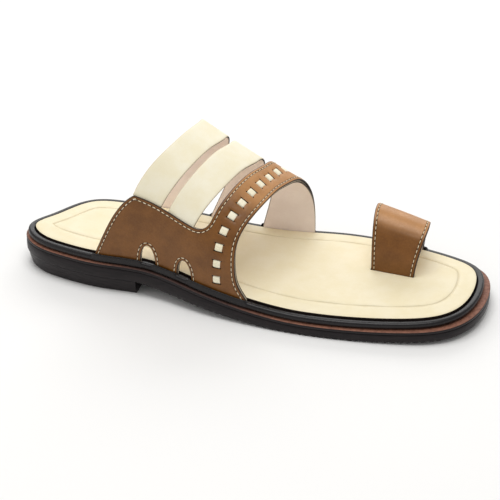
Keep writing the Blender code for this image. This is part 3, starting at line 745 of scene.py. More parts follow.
def board(name, light, dark, roughness, bump, stretch, gloss=0.5, painted_shadow=None):
    """Fibrous board or rubber, with a colour of painted shadow laid along its waist if one is given, where
    the quarter shades it.
    """
    made, tree, shader, place = new_finish(name, IOR=1.48, Specular_IOR_Level=gloss)
    grown = add(tree, "ShaderNodeMapping", n0=place, Scale=stretch)
    fibres = add(tree, "ShaderNodeTexNoise", Vector=grown, Scale=1 / BOARD_FIBRE, Detail=4.0, Roughness=0.65)
    tone = add(tree, "ShaderNodeMapRange", SMOOTH, Value=fibres, From_Min=0.3, From_Max=0.7)
    colour = add(tree, "ShaderNodeMix", COLOURS, n0=tone, n6=linear(dark), n7=linear(light))
    # Painted shadow: the ledge darkened along the waist, where the quarter stands over it and shades it
    if painted_shadow:
        along = add(tree, "ShaderNodeSeparateXYZ", n0=place)
        begun, ended = (
            add(tree, "ShaderNodeMapRange", SMOOTH, Value=along, From_Min=start, From_Max=end)
            for start, end in SHADED_WAIST
        )
        waist = add(tree, "ShaderNodeMath", LESS, n0=begun, n1=ended)
        shadow_share = add(tree, "ShaderNodeMath", TIMES, n0=waist, n1=0.85)
        colour = add(tree, "ShaderNodeMix", COLOURS, n0=shadow_share, n6=colour, n7=linear(painted_shadow))
    rough, rubbed = roughness + 0.08, roughness - 0.08
    uneven = add(tree, "ShaderNodeMapRange", Value=tone, To_Min=rough, To_Max=rubbed)
    normal = add(tree, "ShaderNodeBump", Height=fibres, Distance=bump * MM)
    plug(tree, shader, Base_Color=colour, Roughness=uneven, Normal=normal)
    return made


# Leather fibreboard, sawn and only sanded: a dull red-brown edge, darkened along the waist by painted shadow
# from the quarter
LEDGE = board("red_brown_leather_board", "#966550", "#724A3A", 0.62, 0.2, (1.0, 1.0, 1.0), painted_shadow="#2B1C1A")
# Rubber sanded along its edge and inked: near black, satin, with faint marks that run along it
INKED = board("inked_sole_edge", "#1F1719", "#130E10", 0.42, 0.12, (0.25, 0.25, 1.6), gloss=0.28)
# Moulded rubber as it leaves the press: dull dark brown
TREAD = board("dark_tread_rubber", "#2E2627", "#221C1D", 0.60, 0.10, (1.0, 1.0, 1.0))


def thread(name, light, dark):
    """Waxed linen thread, a little uneven in tone."""
    made, tree, shader, place = new_finish(name, Roughness=0.55, IOR=1.5)
    twist = add(tree, "ShaderNodeTexNoise", Vector=place, Scale=1 / (0.8 * MM), Detail=3.0, Roughness=0.6)
    tone = add(tree, "ShaderNodeMapRange", SMOOTH, Value=twist, From_Min=0.35, From_Max=0.65)
    colour = add(tree, "ShaderNodeMix", COLOURS, n0=tone, n6=linear(dark), n7=linear(light))
    plug(tree, shader, Base_Color=colour)
    return made


# Linen, twisted and drawn through wax: pale raised dashes that catch the light
THREAD = thread("waxed_linen_thread", "#F7EAD0", "#E2CDA4")
print(len(bpy.data.materials), "materials")

# %% [markdown]
# ## Outsole, heel block and midsole
# A sole is stacked and trimmed round one edge, so each layer is a loft of rings that follow the
# outline. An extruded curve would be quicker, but it has upright sides, and these lean in and are
# rounded at their edges. The underside is filled with a fine field of points, so that its cross ribs can be
# real steps; they show as a row of small teeth along the lower edge.

# %% Lofted layers
SIDE_KNOTS = np.linspace(0, LAST_KNOT, SIDE_POINTS, endpoint=False)
RIB_PITCH = 4.4 * MM
RIB_DEPTH = 0.55 * MM
RIB_STEEPNESS = 1.6
RIBBED = (0.34, 0.97)  # shares of the insole's length between which the tread has ribs
RIB_FADES = (0.04, 0.03)


def ribs(x):
    """How far the tread's grooves go up, at a place along."""
    wave = np.sin(2 * np.pi * x / RIB_PITCH)
    start, end = RIBBED
    rising, falling = RIB_FADES
    fade = ease((share_x(x) - start) / rising) * ease((end - share_x(x)) / falling)
    return RIB_DEPTH * fade * ease(0.5 + RIB_STEEPNESS * wave)


def ring(knots, inset, height):
    """A ring at an inset from the rim, at a height worked out along the foot."""
    points = edge_points(knots, rim(OUTLINE(knots)[:, 0]) - inset)
    return np.column_stack([points, height(points[:, 0])])


TREAD_STEP = 1.6 * MM
LID_STEP = 9 * MM


def lofted(name, rings, finishes, numbers, lid=None):
    """A closed stack of rings. lid gives the height of the filled underside; the top is filled level."""
    count = len(rings[0])
    points = [*rings]
    faces = []
    picked = []
    for level, number in enumerate(numbers):
        faces += band(count, level, level + 1)
        picked += [number] * count
    for level, number in ((0, numbers[0]), (len(rings) - 1, numbers[-1])):
        shaped = level == 0 and lid is not None
        flat, corners = flat_fill([rings[level][:, :2]], TREAD_STEP if shaped else LID_STEP)
        height = lid(flat[:, 0]) if shaped else np.interp(flat[:, 0], *level_line(rings[level]))
        first = sum(len(p) for p in points)
        points.append(np.column_stack([flat, height])[count:])
        index = np.concatenate([level * count + np.arange(count), first + np.arange(len(flat) - count)])
        faces += index[corners[:, ::-1] if level == 0 else corners].tolist()
        picked += [number] * len(corners)
    return piece(name, np.vstack(points), faces, finishes, picked)


def level_line(loop):
    """Heights of a ring against the place along, for filling it."""
    order = np.argsort(loop[:, 0])
    return loop[order, 0], loop[order, 2]


# %% Outsole
ROUND = 0.7 * MM


def ribbed(x):
    return tread_z(x) + ribs(x)


def outsole_top(x):
    return ledge_z(x) - MIDSOLE - FIT


outsole_rows = (
    # inset from the rim, height
    (ROUND, ribbed),
    (0.3 * ROUND, lambda x: tread_z(x) + ribs(x) * 0.9 + 0.3 * ROUND),
    (0, lambda x: tread_z(x) + 1.2 * ROUND),
    (-0.1 * MM, lambda x: (tread_z(x) + ledge_z(x) - MIDSOLE) / 2),
    (0, lambda x: outsole_top(x) - 0.3 * MM),
    (0.25 * MM, outsole_top),
)
outsole_rings = [ring(SIDE_KNOTS, *row) for row in outsole_rows]
outsole = lofted("outsole_shaped", outsole_rings, [TREAD, INKED], [0, 1, 1, 1, 1], ribbed)

# %% Midsole, whose top shows as the ledge
midsole_rows = (
    # inset from the rim, height
    (0.2 * MM, lambda x: ledge_z(x) - MIDSOLE),
    (0, lambda x: ledge_z(x) - MIDSOLE + 0.3 * MM),
    (0, lambda x: ledge_z(x) - 0.6 * MM),
    (0.12 * MM, lambda x: ledge_z(x) - 0.2 * MM),
    (0.45 * MM, ledge_z),
)
midsole_rings = [ring(SIDE_KNOTS, *row) for row in midsole_rows]
midsole = lofted("midsole_shaped", midsole_rings, [INKED, LEDGE], [0, 0, 0, 1])

# %% Heel block
HEEL_SIDE_POINTS = 130
breast = place_x(BREAST)
heel_inner = np.linspace(knot_at(breast, INNER_SIDE), 0, HEEL_SIDE_POINTS, endpoint=False)
heel_outer = np.linspace(LAST_KNOT, knot_at(breast, OUTER_SIDE), HEEL_SIDE_POINTS + 1)
heel_knots = np.concatenate([heel_inner, heel_outer])[::-1]
heel_rings = []
for height, inset in (
    # height, inset from the rim
    (0, HEEL_TAPER + 0.2 * MM),
    (0.25 * MM, HEEL_TAPER - 0.2 * MM),
    (0.8 * MM, HEEL_TAPER - 0.6 * MM),
    (HEEL_BLOCK / 2, HEEL_TAPER / 2),
    (HEEL_BLOCK - FIT, 0.7 * MM),
):
    level = ring(heel_knots, inset, lambda x: 0 * x + height)
    level[[0, -1], 0] = breast
    heel_rings.append(level)
heel = lofted("heel_shaped", heel_rings, [TREAD, INKED], [0, 1, 1, 1])

# %% [markdown]
# ## Padded insole
# The footbed is thin leather over foam. It is crowned, rounds down into the binding, and a
# pressed line runs round it about a centimetre inside its edge. Heel and ball are a little
# lower, as foam takes a foot's shape. A cloth simulation would swell it as a free cushion, but
# this foam is glued to a board, so each point's height is worked out from its distance to the
# edge. The slit for the toe loop's near leg is a real hole.

# %% Insole
PRESSED_LINE = 11.0 * MM
LINE_DEPTH = 0.6 * MM
LINE_WIDTH = 0.9 * MM
WANDER = 0.35 * MM  # how far the line strays, as it is pressed by hand
EDGE_FALL = 0.55 * MM
SLIT_PULL = 0.45 * MM
HOLLOW_LENGTH = 0.10
HOLLOWS = (
    # place along, width as a share of the ball's, depth
    (0.13, 0.30, 0.7 * MM),
    (0.68, 0.36, 0.5 * MM),
)
knots = np.linspace(0, LAST_KNOT, 560, endpoint=False)


def toe_slot():
    """The slit's outline round the toe loop's near leg."""
    w = np.linspace(0, 1, 25)
    outer = loop_point(w, 0 * w)[:, :2]
    inner = outer + (0, LOOP_WALL)
    low = np.vstack([outer[0] - (FIT, 0), outer - (0, FIT), outer[-1] + (FIT, -FIT)])
    high = np.vstack([inner[-1] + (FIT, FIT), inner[::-1] + (0, FIT), inner[0] + (-FIT, FIT)])
    low[0] -= (0, FIT)
    return np.vstack([low, high])


def insole_top(points, edge, slot_gap):
    """Height of the footbed, from each point's distance to the edge and to the slit."""
    x, y = points.T
    stray = WANDER * np.sin(x / (4.1 * MM)) * np.sin(y / (7.3 * MM))
    height = insole_z(x) + INSOLE_CROWN * ease(edge / (13 * MM))
    height -= EDGE_FALL * (1 - np.clip(edge / (1.8 * MM), 0, 1)) ** 2
    height -= LINE_DEPTH * dent(edge - PRESSED_LINE + stray, LINE_WIDTH)
    height -= SLIT_PULL * dent(slot_gap, 1.8 * MM)
    for place, width, depth in HOLLOWS:
        away = np.hypot((share_x(x) - place) / HOLLOW_LENGTH, y / (width * BALL_WIDTH))
        height -= depth * dent(away, 1.0)
    return height


insole_loop = OUTLINE(knots)
slot = toe_slot()
near_rows = [edge_points(knots, -inset * MM) for inset in (0.5, 1.1, 1.9)]
line_rows = [edge_points(knots[::2], -(PRESSED_LINE + shift * MM)) for shift in (-0.8, 0.0, 0.8)]
flat, corners = flat_fill([insole_loop, slot], 1.7 * MM, near_rows + line_rows)
gap = edge_distance(flat, [insole_loop])
top = np.column_stack([flat, insole_top(flat, gap, edge_distance(flat, [slot]))])
under = np.column_stack([flat, ledge_z(flat[:, 0]) + FIT])
points, faces, numbers = two_sided(corners, top, under)
pressed = (gap - PRESSED_LINE) / MM + SEAM_INSET
values = {"edge": np.tile(gap / MM + 2, 2), "seam": np.tile(pressed, 2)}
insole = piece("padded_insole", points, faces, [FOOTBED, LINING, EDGE_PAINT], numbers, values)

# %% [markdown]
# ## Rolled binding
# A strip of glazed black leather is rolled over a cord and drawn round the insole. Its section
# is swept round the outline by rings. A bevelled curve would keep one width all round, while
# here the roll's inner side gives way and rises where a strap goes down.

# %% Binding
SECTION_POINTS = 28
BINDING_POINTS = 900
ROLL_POWER = 2 / 2.6  # a section a little squarer than round


def legs():
    """Each leg between insole and binding: outline side, rear and front place, and its outer face."""
    half = ARCH_WIDTH / 2
    stops = [place_x(QUARTER_ROWS[0][0])]
    for middle in ARCHES:
        stops += [place_x(middle) - half, place_x(middle) + half]
    stops.append(place_x(FRONT_ROWS[0][1]))
    found = [(OUTER_SIDE, stops[i], stops[i + 1], SEAT) for i in (0, 2, 4)]
    foot = STRAP_ROWS[-1]
    feet = ((foot[1], foot[2]), (foot[3], foot[4]), (foot[5], FRONT_ROWS[-1][1]))
    found += [(INNER_SIDE, place_x(rear), place_x(front), SEAT) for rear, front in feet]
    found.append((INNER_SIDE, place_x(LOOP_REAR), place_x(LOOP_FRONT), FIT + LOOP_WALL))
    return found


def binding_inner(at):
    """Where the roll's inner side lies, outside the insole's edge."""
    inner = np.full(len(at), FIT)
    for side, rear, front, out in legs():
        ends = (rear - LEG_ROOM, rear, front, front + LEG_ROOM)
        stops = sorted(zip([knot_at(x, side) for x in ends], (FIT, out + FIT, out + FIT, FIT)))
        inner = np.maximum(inner, np.interp(at, [k for k, _ in stops], [i for _, i in stops]))
    return inner


binding_knots = np.linspace(0, LAST_KNOT, BINDING_POINTS, endpoint=False)
inner = binding_inner(binding_knots)
pushed = np.clip((inner - FIT) / LOOP_WALL, 0, 1)  # a strap's leg pushes the roll up
binding_height = INSOLE_EDGE - FIT - BINDING_DROP + (BINDING_DROP - LEG_DROP) * pushed
rings = []
for turn in np.linspace(0, 2 * np.pi, SECTION_POINTS, endpoint=False):
    c, s = np.cos(turn), np.sin(turn)
    across = 0.5 - 0.5 * np.sign(c) * abs(c) ** ROLL_POWER
    up = 0.5 + 0.5 * np.sign(s) * abs(s) ** ROLL_POWER
    base = edge_points(binding_knots, inner + (FIT + BINDING_WIDTH - inner) * across)
    rings.append(np.column_stack([base, ledge_z(base[:, 0]) + FIT + binding_height * up]))
count = len(binding_knots)
faces = [face for r in range(SECTION_POINTS) for face in band(count, r, (r + 1) % SECTION_POINTS)]
far = np.full(count * SECTION_POINTS, UNPAINTED)
binding = piece("rolled_binding", np.vstack(rings), faces, [ROLLED], None, {"edge": far})

# %% [markdown]
# ## Cut leather on the last
# The brown quarter with its front strap is one outline in the flat pattern, and the cream upper
# behind it is another. Both are laid on the last with their real thickness. Cut edges are sanded
# round and painted dark, and the inside shows the grey lining. The brown piece has a window for
# each turn of the lace, longer than the lace is wide, as a slit cut with a chisel is. A Solidify
# modifier could thicken a sheet, but both faces are laid here, so that each edge can be rounded.

# %% Outlines in the flat pattern
EDGE_STEP = 0.8 * MM
FIELD_STEP = 1.15 * MM


def resampled(points, step):
    """A run of points with none further apart than a step."""
    points = np.asarray(points, float)
    out = [points[:1]]
    for start, end in zip(points[:-1], points[1:]):
        pieces = max(1, math.ceil(np.linalg.norm(end - start) / step - 0.3))
        out.append(start + (end - start) * (np.arange(1, pieces + 1) / pieces)[:, None])
    return np.vstack(out)


def closed(*runs):
    """Runs of points joined to one loop, without doubled points."""
    points = resampled(np.vstack(runs), EDGE_STEP)
    keep = [points[0]]
    for point in points[1:]:
        if np.linalg.norm(point - keep[-1]) > FIT:
            keep.append(point)
    if np.linalg.norm(keep[-1] - keep[0]) < FIT:
        keep.pop()
    return np.array(keep)


def edge_run(table, number, start, end):
    """Pattern points of one strap edge from one share of the girth to another."""
    curve = column(table, number)
    shares = np.linspace(start, end, max(2, round(abs(end - start) * GIRTH / EDGE_STEP) + 1))
    return np.column_stack([place_x(curve(np.clip(shares, 0, 1))), shares * GIRTH])


def pattern_curve(rows, count):
    """A smooth run of pattern points through a table's rows."""
    points = np.array([(place_x(along), over * GIRTH) for along, over in rows])
    return spline(np.arange(len(rows)), points)(np.linspace(0, len(rows) - 1, count))


def base_run():
    """The quarter's foot, from its rear end over the two arches to the front edge."""
    foot = -TUCK * GIRTH
    points = [(place_x(QUARTER_ROWS[0][0]), foot)]
    for middle in ARCHES:
        centre = place_x(middle)
        turns = np.linspace(math.pi, 0, 41)
        points.append((centre - ARCH_WIDTH / 2, foot))
        points += [(centre + ARCH_WIDTH / 2 * math.cos(t), ARCH_HEIGHT * math.sin(t)) for t in turns]
        points.append((centre + ARCH_WIDTH / 2, foot))
    points.append((place_x(FRONT_ROWS[0][1]), foot))
    return np.array(points)


def front_strap_run():
    front = edge_run(FRONT_ROWS, 1, -TUCK, BEYOND)
    rear = edge_run(STRAP_ROWS, 5, BEYOND, QUARTER_TOP[-1][1] + VALLEY_TURN)
    return np.vstack([front, rear])


def overlay_outline():
    top = pattern_curve(QUARTER_TOP, 160)[::-1]
    return closed(base_run(), front_strap_run(), top, pattern_curve(QUARTER_ROWS, 60)[::-1])


def upper_outline():
    top = pattern_curve(QUARTER_TOP, 160)[::-1]
    front_foot = edge_run(STRAP_ROWS, 4, QUARTER_TOP[3][1], BEYOND)
    return closed(
        base_run(),
        front_strap_run(),
        top[top[:, 0] > front_foot[0, 0] + FIT],
        front_foot,
        edge_run(STRAP_ROWS, 3, BEYOND, GAP_END),
        edge_run(STRAP_ROWS, 2, GAP_END, BEYOND),
        edge_run(STRAP_ROWS, 1, BEYOND, QUARTER_ROWS[-1][1]),
        pattern_curve(QUARTER_ROWS, 60)[::-1][1:],
    )


# %% Rows behind an edge
def inset_rows(form, loop, distance):
    """Pattern points at a real distance inside a loop, in its order, less those cut off at corners."""
    laid = form.lay(loop, 0.0)
    ahead = np.roll(laid, -1, axis=0) - np.roll(laid, 1, axis=0)
    ahead /= np.linalg.norm(ahead, axis=1)[:, None]
    side = np.cross(form.frames(loop)[2], ahead)
    rows = form.stepped(loop, side, distance)
    if inside(rows, loop).mean() < 0.5:
        rows = form.stepped(loop, -side, distance)
    true = edge_distance(form.lay(rows, 0.0), [laid])
    return rows, (true > 0.93 * distance) & inside(rows, loop)


EDGE_ROUND = 0.75 * MM  # how far in from a cut edge the leather is sanded round
FACE_ROUND = 0.32 * MM
BACK_ROUND = 0.12 * MM


def laid_wall(name, form, loops, low, high, finishes, shape=None):
    """A closed leather wall over a form, with rounded cut edges. shape adds relief to pattern points."""
    rows = []
    for n, loop in enumerate(loops):
        for inset in (0.4 * EDGE_ROUND, EDGE_ROUND):
            row, good = inset_rows(form, loop, inset if n == 0 else -inset)
            rows.append(row[good] if n == 0 else row[~inside(row, loop)])
    flat, corners = flat_fill(loops, FIELD_STEP, [row for row in rows if len(row)])
    laid = form.lay(flat, 0.0)
    laid_loops = [form.lay(loop, 0.0) for loop in loops]
    gap = edge_distance(laid, laid_loops)
    seam = edge_distance(laid, laid_loops[:1])
    rounding = (1 - np.clip(gap / EDGE_ROUND, 0, 1)) ** 2
    relief = shape(flat) if shape else 0.0
    top = form.lay(flat, high - FACE_ROUND * rounding + relief)
    under = form.lay(flat, low + BACK_ROUND * rounding + relief)
    points, faces, numbers = two_sided(corners, top, under)
    # bend carries the share of painted sheen, which is most over the form's top
    values = {"edge": seam / MM, "seam": seam / MM, "bend": form.sheen_share(flat)}
    values = {label: np.tile(amounts, 2) for label, amounts in values.items()}
    return piece(name, points, faces, finishes, numbers, values)


# %% Places of the lace's squares
LACE_MIDDLE = column(FRONT_ROWS, 2)


def lace_frame(share):
    """One place on the lace's middle, and its pattern steps of a metre along and across."""
    nudge = 2e-3
    spots = np.array([[place_x(LACE_MIDDLE(s)), s * GIRTH] for s in (share - nudge, share, share + nudge)])
    laid = LAST.lay(spots, 0.0)
    ahead = (laid[2] - laid[0]) / np.linalg.norm(laid[2] - laid[0])
    across = np.cross(ahead, LAST.frames(spots)[2][1])
    steps = [LAST.stepped(spots[1:2], np.array([way]), 1.0)[0] - spots[1] for way in (ahead, across)]
    return spots[1], *steps


def lace_frames():
    shares = np.linspace(0, 1, MEASURE_POINTS)
    line = last_point(place_x(LACE_MIDDLE(shares)), shares)
    travelled = np.concatenate([[0], np.cumsum(np.linalg.norm(np.diff(line, axis=0), axis=1))])
    start = np.interp(LACE_START, shares, travelled)
    last = np.interp(LACE_END, shares, travelled) - LACE_WIDTH
    return [lace_frame(np.interp(d, travelled, shares)) for d in np.arange(start, last, LACE_PITCH)]


LACE_FRAMES = lace_frames()
SLIT_REACH = 0.8 * MM
SLIT_WIDTH = 0.7 * MM
LACE_TURN = 5.6 * MM  # visible length of each turn


def window(frame):
    """A lace window: a square with a slit across each end, wider than the lace."""
    centre, along, across = frame
    half, side, wide, slit = LACE_TURN / 2, LACE_WIDTH / 2, LACE_WIDTH / 2 + SLIT_REACH, SLIT_WIDTH
    corner = [(half, wide), (half, -wide), (half - slit, -wide), (half - slit, -side)]
    corner += [(slit - half, -side), (slit - half, -wide), (-half, -wide), (-half, wide)]
    corner += [(slit - half, wide), (slit - half, side), (half - slit, side), (half - slit, wide)]
    return np.array([centre + a * along + b * across for a, b in corner])


print(len(LACE_FRAMES), "lace squares")

# %% Upper, overlay and toe loop
UPPER_TOP = -OVERLAY_WALL - FIT
upper = laid_wall(
    "cream_upper", LAST, [upper_outline()], UPPER_TOP - UPPER_WALL, UPPER_TOP, [CREAM, LINING, EDGE_PAINT]
)
OVERLAY_LOOP = overlay_outline()
windows = [resampled(np.vstack([w, w[:1]]), EDGE_STEP)[:-1] for w in map(window, LACE_FRAMES)]
overlay = laid_wall(
    "brown_quarter", LAST, [OVERLAY_LOOP, *windows], -OVERLAY_WALL, 0.0, [TAN, EDGE_PAINT, EDGE_PAINT]
)


LOOP_CREASES = (
    # share of the way over, tilt, depth in millimetres
    (0.235, 0.03, 0.22),
    (0.275, -0.02, 0.15),
    (0.315, 0.02, 0.12),
    (0.620, 0.02, 0.15),
)


def loop_creases(flat):
    """Soft creases across the toe loop, where it bends over the toe."""
    v = flat[:, 1] / LOOP_GIRTH
    w = flat[:, 0] / LOOP_LENGTH
    relief = 0 * v
    for place, tilt, depth in LOOP_CREASES:
        relief -= depth * MM * dent(v - place - tilt * (w - 0.5), 0.012) * ease(1.6 - 2.2 * abs(w - 0.5))
    return relief


corner_points = [(0, -LOOP_TUCK), (1, -LOOP_TUCK), (1, 1 + LOOP_TUCK), (0, 1 + LOOP_TUCK), (0, -LOOP_TUCK)]
TOE_LOOP = closed([(w * LOOP_LENGTH, v * LOOP_GIRTH) for w, v in corner_points])
toe_loop = laid_wall(
    "brown_toe_loop", TOE_FORM, [TOE_LOOP], -LOOP_WALL, 0.0, [TAN, LINING, EDGE_PAINT], loop_creases
)

# %% [markdown]
# ## The woven lace
# One cream strip runs under the front strap and comes up through the slits. Each visible turn is
# a small pillow: it rises out of one slit, lies flush with the brown leather and dives into the
# next. Under the windows lies the strip itself, coloured dark as painted shade. One long woven
# strip could be bent in and out, but its buried half never shows, so only the turns get a fine mesh.


# %% Lace
PILLOW_POINTS = 11
PILLOW_DEPTH = 1.4 * MM
STRIP_POINTS = 120
STRIP_START = 0.018


def cells(rows, columns):
    """Four-sided faces over a grid of points."""
    starts = [r * columns + c for r in range(rows - 1) for c in range(columns - 1)]
    return [(s, s + columns, s + columns + 1, s + 1) for s in starts]


def lace_pillow(centre, along, across):
    """One visible turn, which falls away at its ends and sides."""
    side = np.linspace(-1, 1, PILLOW_POINTS)
    a, b = (grid.ravel() for grid in np.meshgrid(side, side, indexing="ij"))
    rise = 0.1 * MM - 1.35 * MM * np.abs(a) ** 5 - 0.35 * MM * np.abs(b) ** 6
    long, wide = LACE_TURN / 2 - 0.1 * MM, LACE_WIDTH / 2 - 0.04 * MM
    spots = centre + long * a[:, None] * along + wide * b[:, None] * across
    under = LAST.lay(spots, np.full(len(spots), -PILLOW_DEPTH))
    return two_sided(cells(PILLOW_POINTS, PILLOW_POINTS), LAST.lay(spots, rise), under)


def lace_strip():
    """The strip under the front strap, as a thin closed band."""
    frames = [lace_frame(share) for share in np.linspace(STRIP_START, LACE_END, STRIP_POINTS)]
    spots = [[c + across * b * LACE_WIDTH / 2 for b in (-1.35, 0.0, 1.35)] for c, _, across in frames]
    flat = np.array(spots).reshape(-1, 2)
    top, under = (LAST.lay(flat, UPPER_TOP + lift * MM) for lift in (0.25, 0.05))
    return two_sided(cells(STRIP_POINTS, 3), top, under)


strip = lace_strip()
points, faces = joined([*(lace_pillow(*frame) for frame in LACE_FRAMES), strip])
# The strip's faces take the second finish, painted shade under the windows
numbers = [int(n >= len(faces) - len(strip[1])) for n in range(len(faces))]
far = np.full(len(points), UNPAINTED)
lace = piece("woven_lace", points, faces, [CREAM, SHADOWED], numbers, {"edge": far})

# %% [markdown]
# ## Stitches
# A lockstitch is the same short loop of thread again and again, so Geometry Nodes make it. The
# seams are drawn as edges two millimetres inside the leather's border, with the leather's own
# normal kept on each point. The tree resamples them to the stitch length and sets one slim
# spindle of thread at each point, turned along the seam and standing on the leather.

# %% Seam lines
STITCH_PITCH = 3.2 * MM
STITCH_LENGTH = 2.5 * MM
THREAD_WIDTH = 0.55 * MM


def seam_runs(form, loop, low, high):
    """Runs of pattern points along a seam, kept between two shares of the way over."""
    rows, good = inset_rows(form, loop, SEAM_INSET * MM)
    shares = rows[:, 1] / form.scale[1]
    good &= (shares > low) & (shares < high)
    start = int(np.flatnonzero(~good)[0])
    runs = [[]]
    for n in np.roll(np.arange(len(rows)), -start):
        if good[n]:
            runs[-1].append(rows[n])
        elif runs[-1]:
            runs.append([])
    return [np.array(run) for run in runs if len(run) > 4]


def seam_mesh(name, jobs):
    """Seam lines as loose edges, with the leather's normal on each point."""
    points, ups, edges = [], [], []
    for form, runs in jobs:
        for run in runs:
            first = sum(len(p) for p in points)
            points.append(form.lay(run, 0.05 * MM))
            ups.append(form.frames(run)[2])
            edges += [(first + i, first + i + 1) for i in range(len(run) - 1)]
    mesh = bpy.data.meshes.new(name)
    mesh.from_pydata(np.vstack(points).tolist(), edges, [])
    field = mesh.attributes.new("up", "FLOAT_VECTOR", "POINT")
    field.data.foreach_set("vector", np.vstack(ups).astype(np.float32).ravel())
    print(name, len(edges), "edges")
    return placed(name, mesh)


# %% A tree that sews
def sewing_tree():
    tree = bpy.data.node_groups.new("sewn seam", "GeometryNodeTree")
    face = tree.interface
    face.new_socket("Geometry", in_out="INPUT", socket_type="NodeSocketGeometry")
    for label in ("Pitch", "Length", "Width"):
        face.new_socket(label, in_out="INPUT", socket_type="NodeSocketFloat")
    face.new_socket("Thread", in_out="INPUT", socket_type="NodeSocketMaterial")
    face.new_socket("Geometry", in_out="OUTPUT", socket_type="NodeSocketGeometry")
    given = add(tree, "NodeGroupInput").outputs
    seam = add(tree, "GeometryNodeMeshToCurve", n0=given["Geometry"])
    spots = add(tree, "GeometryNodeResampleCurve", {"mode": "LENGTH"}, Curve=seam, Length=given["Pitch"])
    ball = add(tree, "GeometryNodeMeshUVSphere", Segments=8, Rings=6, Radius=0.5)
    size = add(tree, "ShaderNodeCombineXYZ", X=given["Length"], Y=given["Width"], Z=given["Width"])
    stitch = add(tree, "GeometryNodeTransform", Geometry=ball, Scale=size)
    along = add(tree, "GeometryNodeInputTangent")
    up = add(tree, "GeometryNodeInputNamedAttribute", {"data_type": "FLOAT_VECTOR"}, Name="up")
    turn = add(tree, "FunctionNodeAlignRotationToVector", {"axis": "X"}, Vector=along)
    upright = {"axis": "Z", "pivot_axis": "X"}
    stand = add(tree, "FunctionNodeAlignRotationToVector", upright, Rotation=turn, Vector=up)
    sewn_on = add(tree, "GeometryNodeInstanceOnPoints", Points=spots, Instance=stitch, Rotation=stand)
    real = add(tree, "GeometryNodeRealizeInstances", n0=sewn_on)
    dyed = add(tree, "GeometryNodeSetMaterial", Geometry=real, Material=given["Thread"])
    smooth = add(tree, "GeometryNodeSetShadeSmooth", Geometry=dyed)
    add(tree, "NodeGroupOutput", n0=smooth)
    return tree


SEWING = sewing_tree()


def sewn(thing, finish):
    """Runs the sewing tree on a seam and keeps the result as a plain mesh."""
    live = thing.modifiers.new("sewing", "NODES")
    live.node_group = SEWING
    amounts = {"Pitch": STITCH_PITCH, "Length": STITCH_LENGTH, "Width": THREAD_WIDTH, "Thread": finish}
    for socket in SEWING.interface.items_tree:
        if socket.in_out == "INPUT" and socket.name in amounts:
            live[socket.identifier] = amounts[socket.name]
    evaluated = thing.evaluated_get(bpy.context.evaluated_depsgraph_get())
    made = bpy.data.meshes.new_from_object(evaluated)
    thing.modifiers.remove(live)
    thing.data = made
    print(thing.name, len(made.polygons), "faces")
    return thing


# %% Sew the brown leather
quarter_seams = seam_runs(LAST, OVERLAY_LOOP, 0.004, 0.996)
toe_seams = seam_runs(TOE_FORM, TOE_LOOP, 0.015, 0.985)
quarter_stitches = sewn(seam_mesh("quarter_stitches", [(LAST, quarter_seams)]), THREAD)
toe_stitches = sewn(seam_mesh("toe_loop_stitches", [(TOE_FORM, toe_seams)]), THREAD)

# %% [markdown]
# ## Which piece stands for which solid
# Every fine piece rides on the one body and replaces its solid. The stitches ride on the same body.

# %% Riding and replacing
for thing, node in (
    (outsole, "outsole"),
    (midsole, "midsole"),
    (heel, "heel"),
    (insole, "insole"),
    (binding, "binding"),
    (upper, "upper"),
    (overlay, "overlay"),
    (lace, "lace"),
    (toe_loop, "toe_loop"),
):
    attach(thing, "root")
    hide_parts(node)
for thing, node in ((quarter_stitches, "overlay"), (toe_stitches, "toe_loop")):
    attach(thing, "root")

# %% [markdown]
# ## Floor, light and camera
# The shoe stands on a plain pale floor under two wide soft lights, overhead and behind, with a
# weak one from the left, as in a product picture: tops are bright, upright faces are darker.
# The camera has the picture's angle and a long lens.

# %% Floor
FLOOR_HALF = 3.0
floor_points = [(x * FLOOR_HALF, y * FLOOR_HALF, 0) for x, y in ((-1, -1), (1, -1), (1, 1), (-1, 1))]
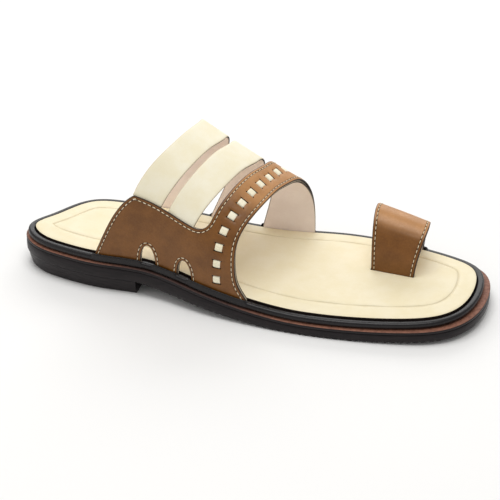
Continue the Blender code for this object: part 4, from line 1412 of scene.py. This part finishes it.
# Uncoated backdrop paper: matt, so it shows soft shadows and no reflection
paper = new_finish("pale_paper", Base_Color=linear("#F4F3F1"), Roughness=0.9)[0]
floor = piece("floor", floor_points, [(0, 1, 2, 3)], [paper])


# %% Lights
def soft_light(name, place, aim, size, power):
    lamp = bpy.data.lights.new(name, "AREA")
    lamp.shape = "RECTANGLE"
    lamp.size, lamp.size_y = size
    lamp.energy = power
    holder = placed(name, lamp)
    holder.location = place
    holder.rotation_euler = (Vector(aim) - Vector(place)).to_track_quat("-Z", "Y").to_euler()


SHOE_MIDDLE = (0.105, 0.0, 0.03)
soft_light("overhead", (0.05, -0.1, 1.3), SHOE_MIDDLE, (1.0, 0.7), 9.0)
soft_light("behind", (-0.2, 1.3, 0.85), SHOE_MIDDLE, (1.8, 0.8), 10.0)
soft_light("left_fill", (-1.1, -0.6, 0.6), SHOE_MIDDLE, (0.7, 0.7), 1.2)
world = bpy.data.worlds.new("studio")
world.use_nodes = True
world.node_tree.nodes["Background"].inputs["Color"].default_value = (1.0, 1.0, 1.0, 1.0)
world.node_tree.nodes["Background"].inputs["Strength"].default_value = 0.5
bpy.context.scene.world = world
bpy.context.scene.view_settings.view_transform = "Standard"

# %% Camera
CAMERA_AZIMUTH = math.radians(14.93)
CAMERA_ELEVATION = math.radians(31.42)
CAMERA_DISTANCE = 1.16725
CAMERA_TARGET = Vector((0.10204, 0.00339, 0.0186))
camera = bpy.data.cameras.new("camera")
camera.sensor_width = 36.0
camera.lens = 132.7
holder = placed("camera", camera)
back = Vector((
    math.sin(CAMERA_AZIMUTH) * math.cos(CAMERA_ELEVATION),
    -math.cos(CAMERA_AZIMUTH) * math.cos(CAMERA_ELEVATION),
    math.sin(CAMERA_ELEVATION),
))
holder.location = CAMERA_TARGET + back * CAMERA_DISTANCE
holder.rotation_euler = (-back).to_track_quat("-Z", "Y").to_euler()
bpy.context.scene.camera = holder
print(f"camera {CAMERA_DISTANCE:.2f} m away, {math.degrees(CAMERA_ELEVATION):.0f} degrees up")
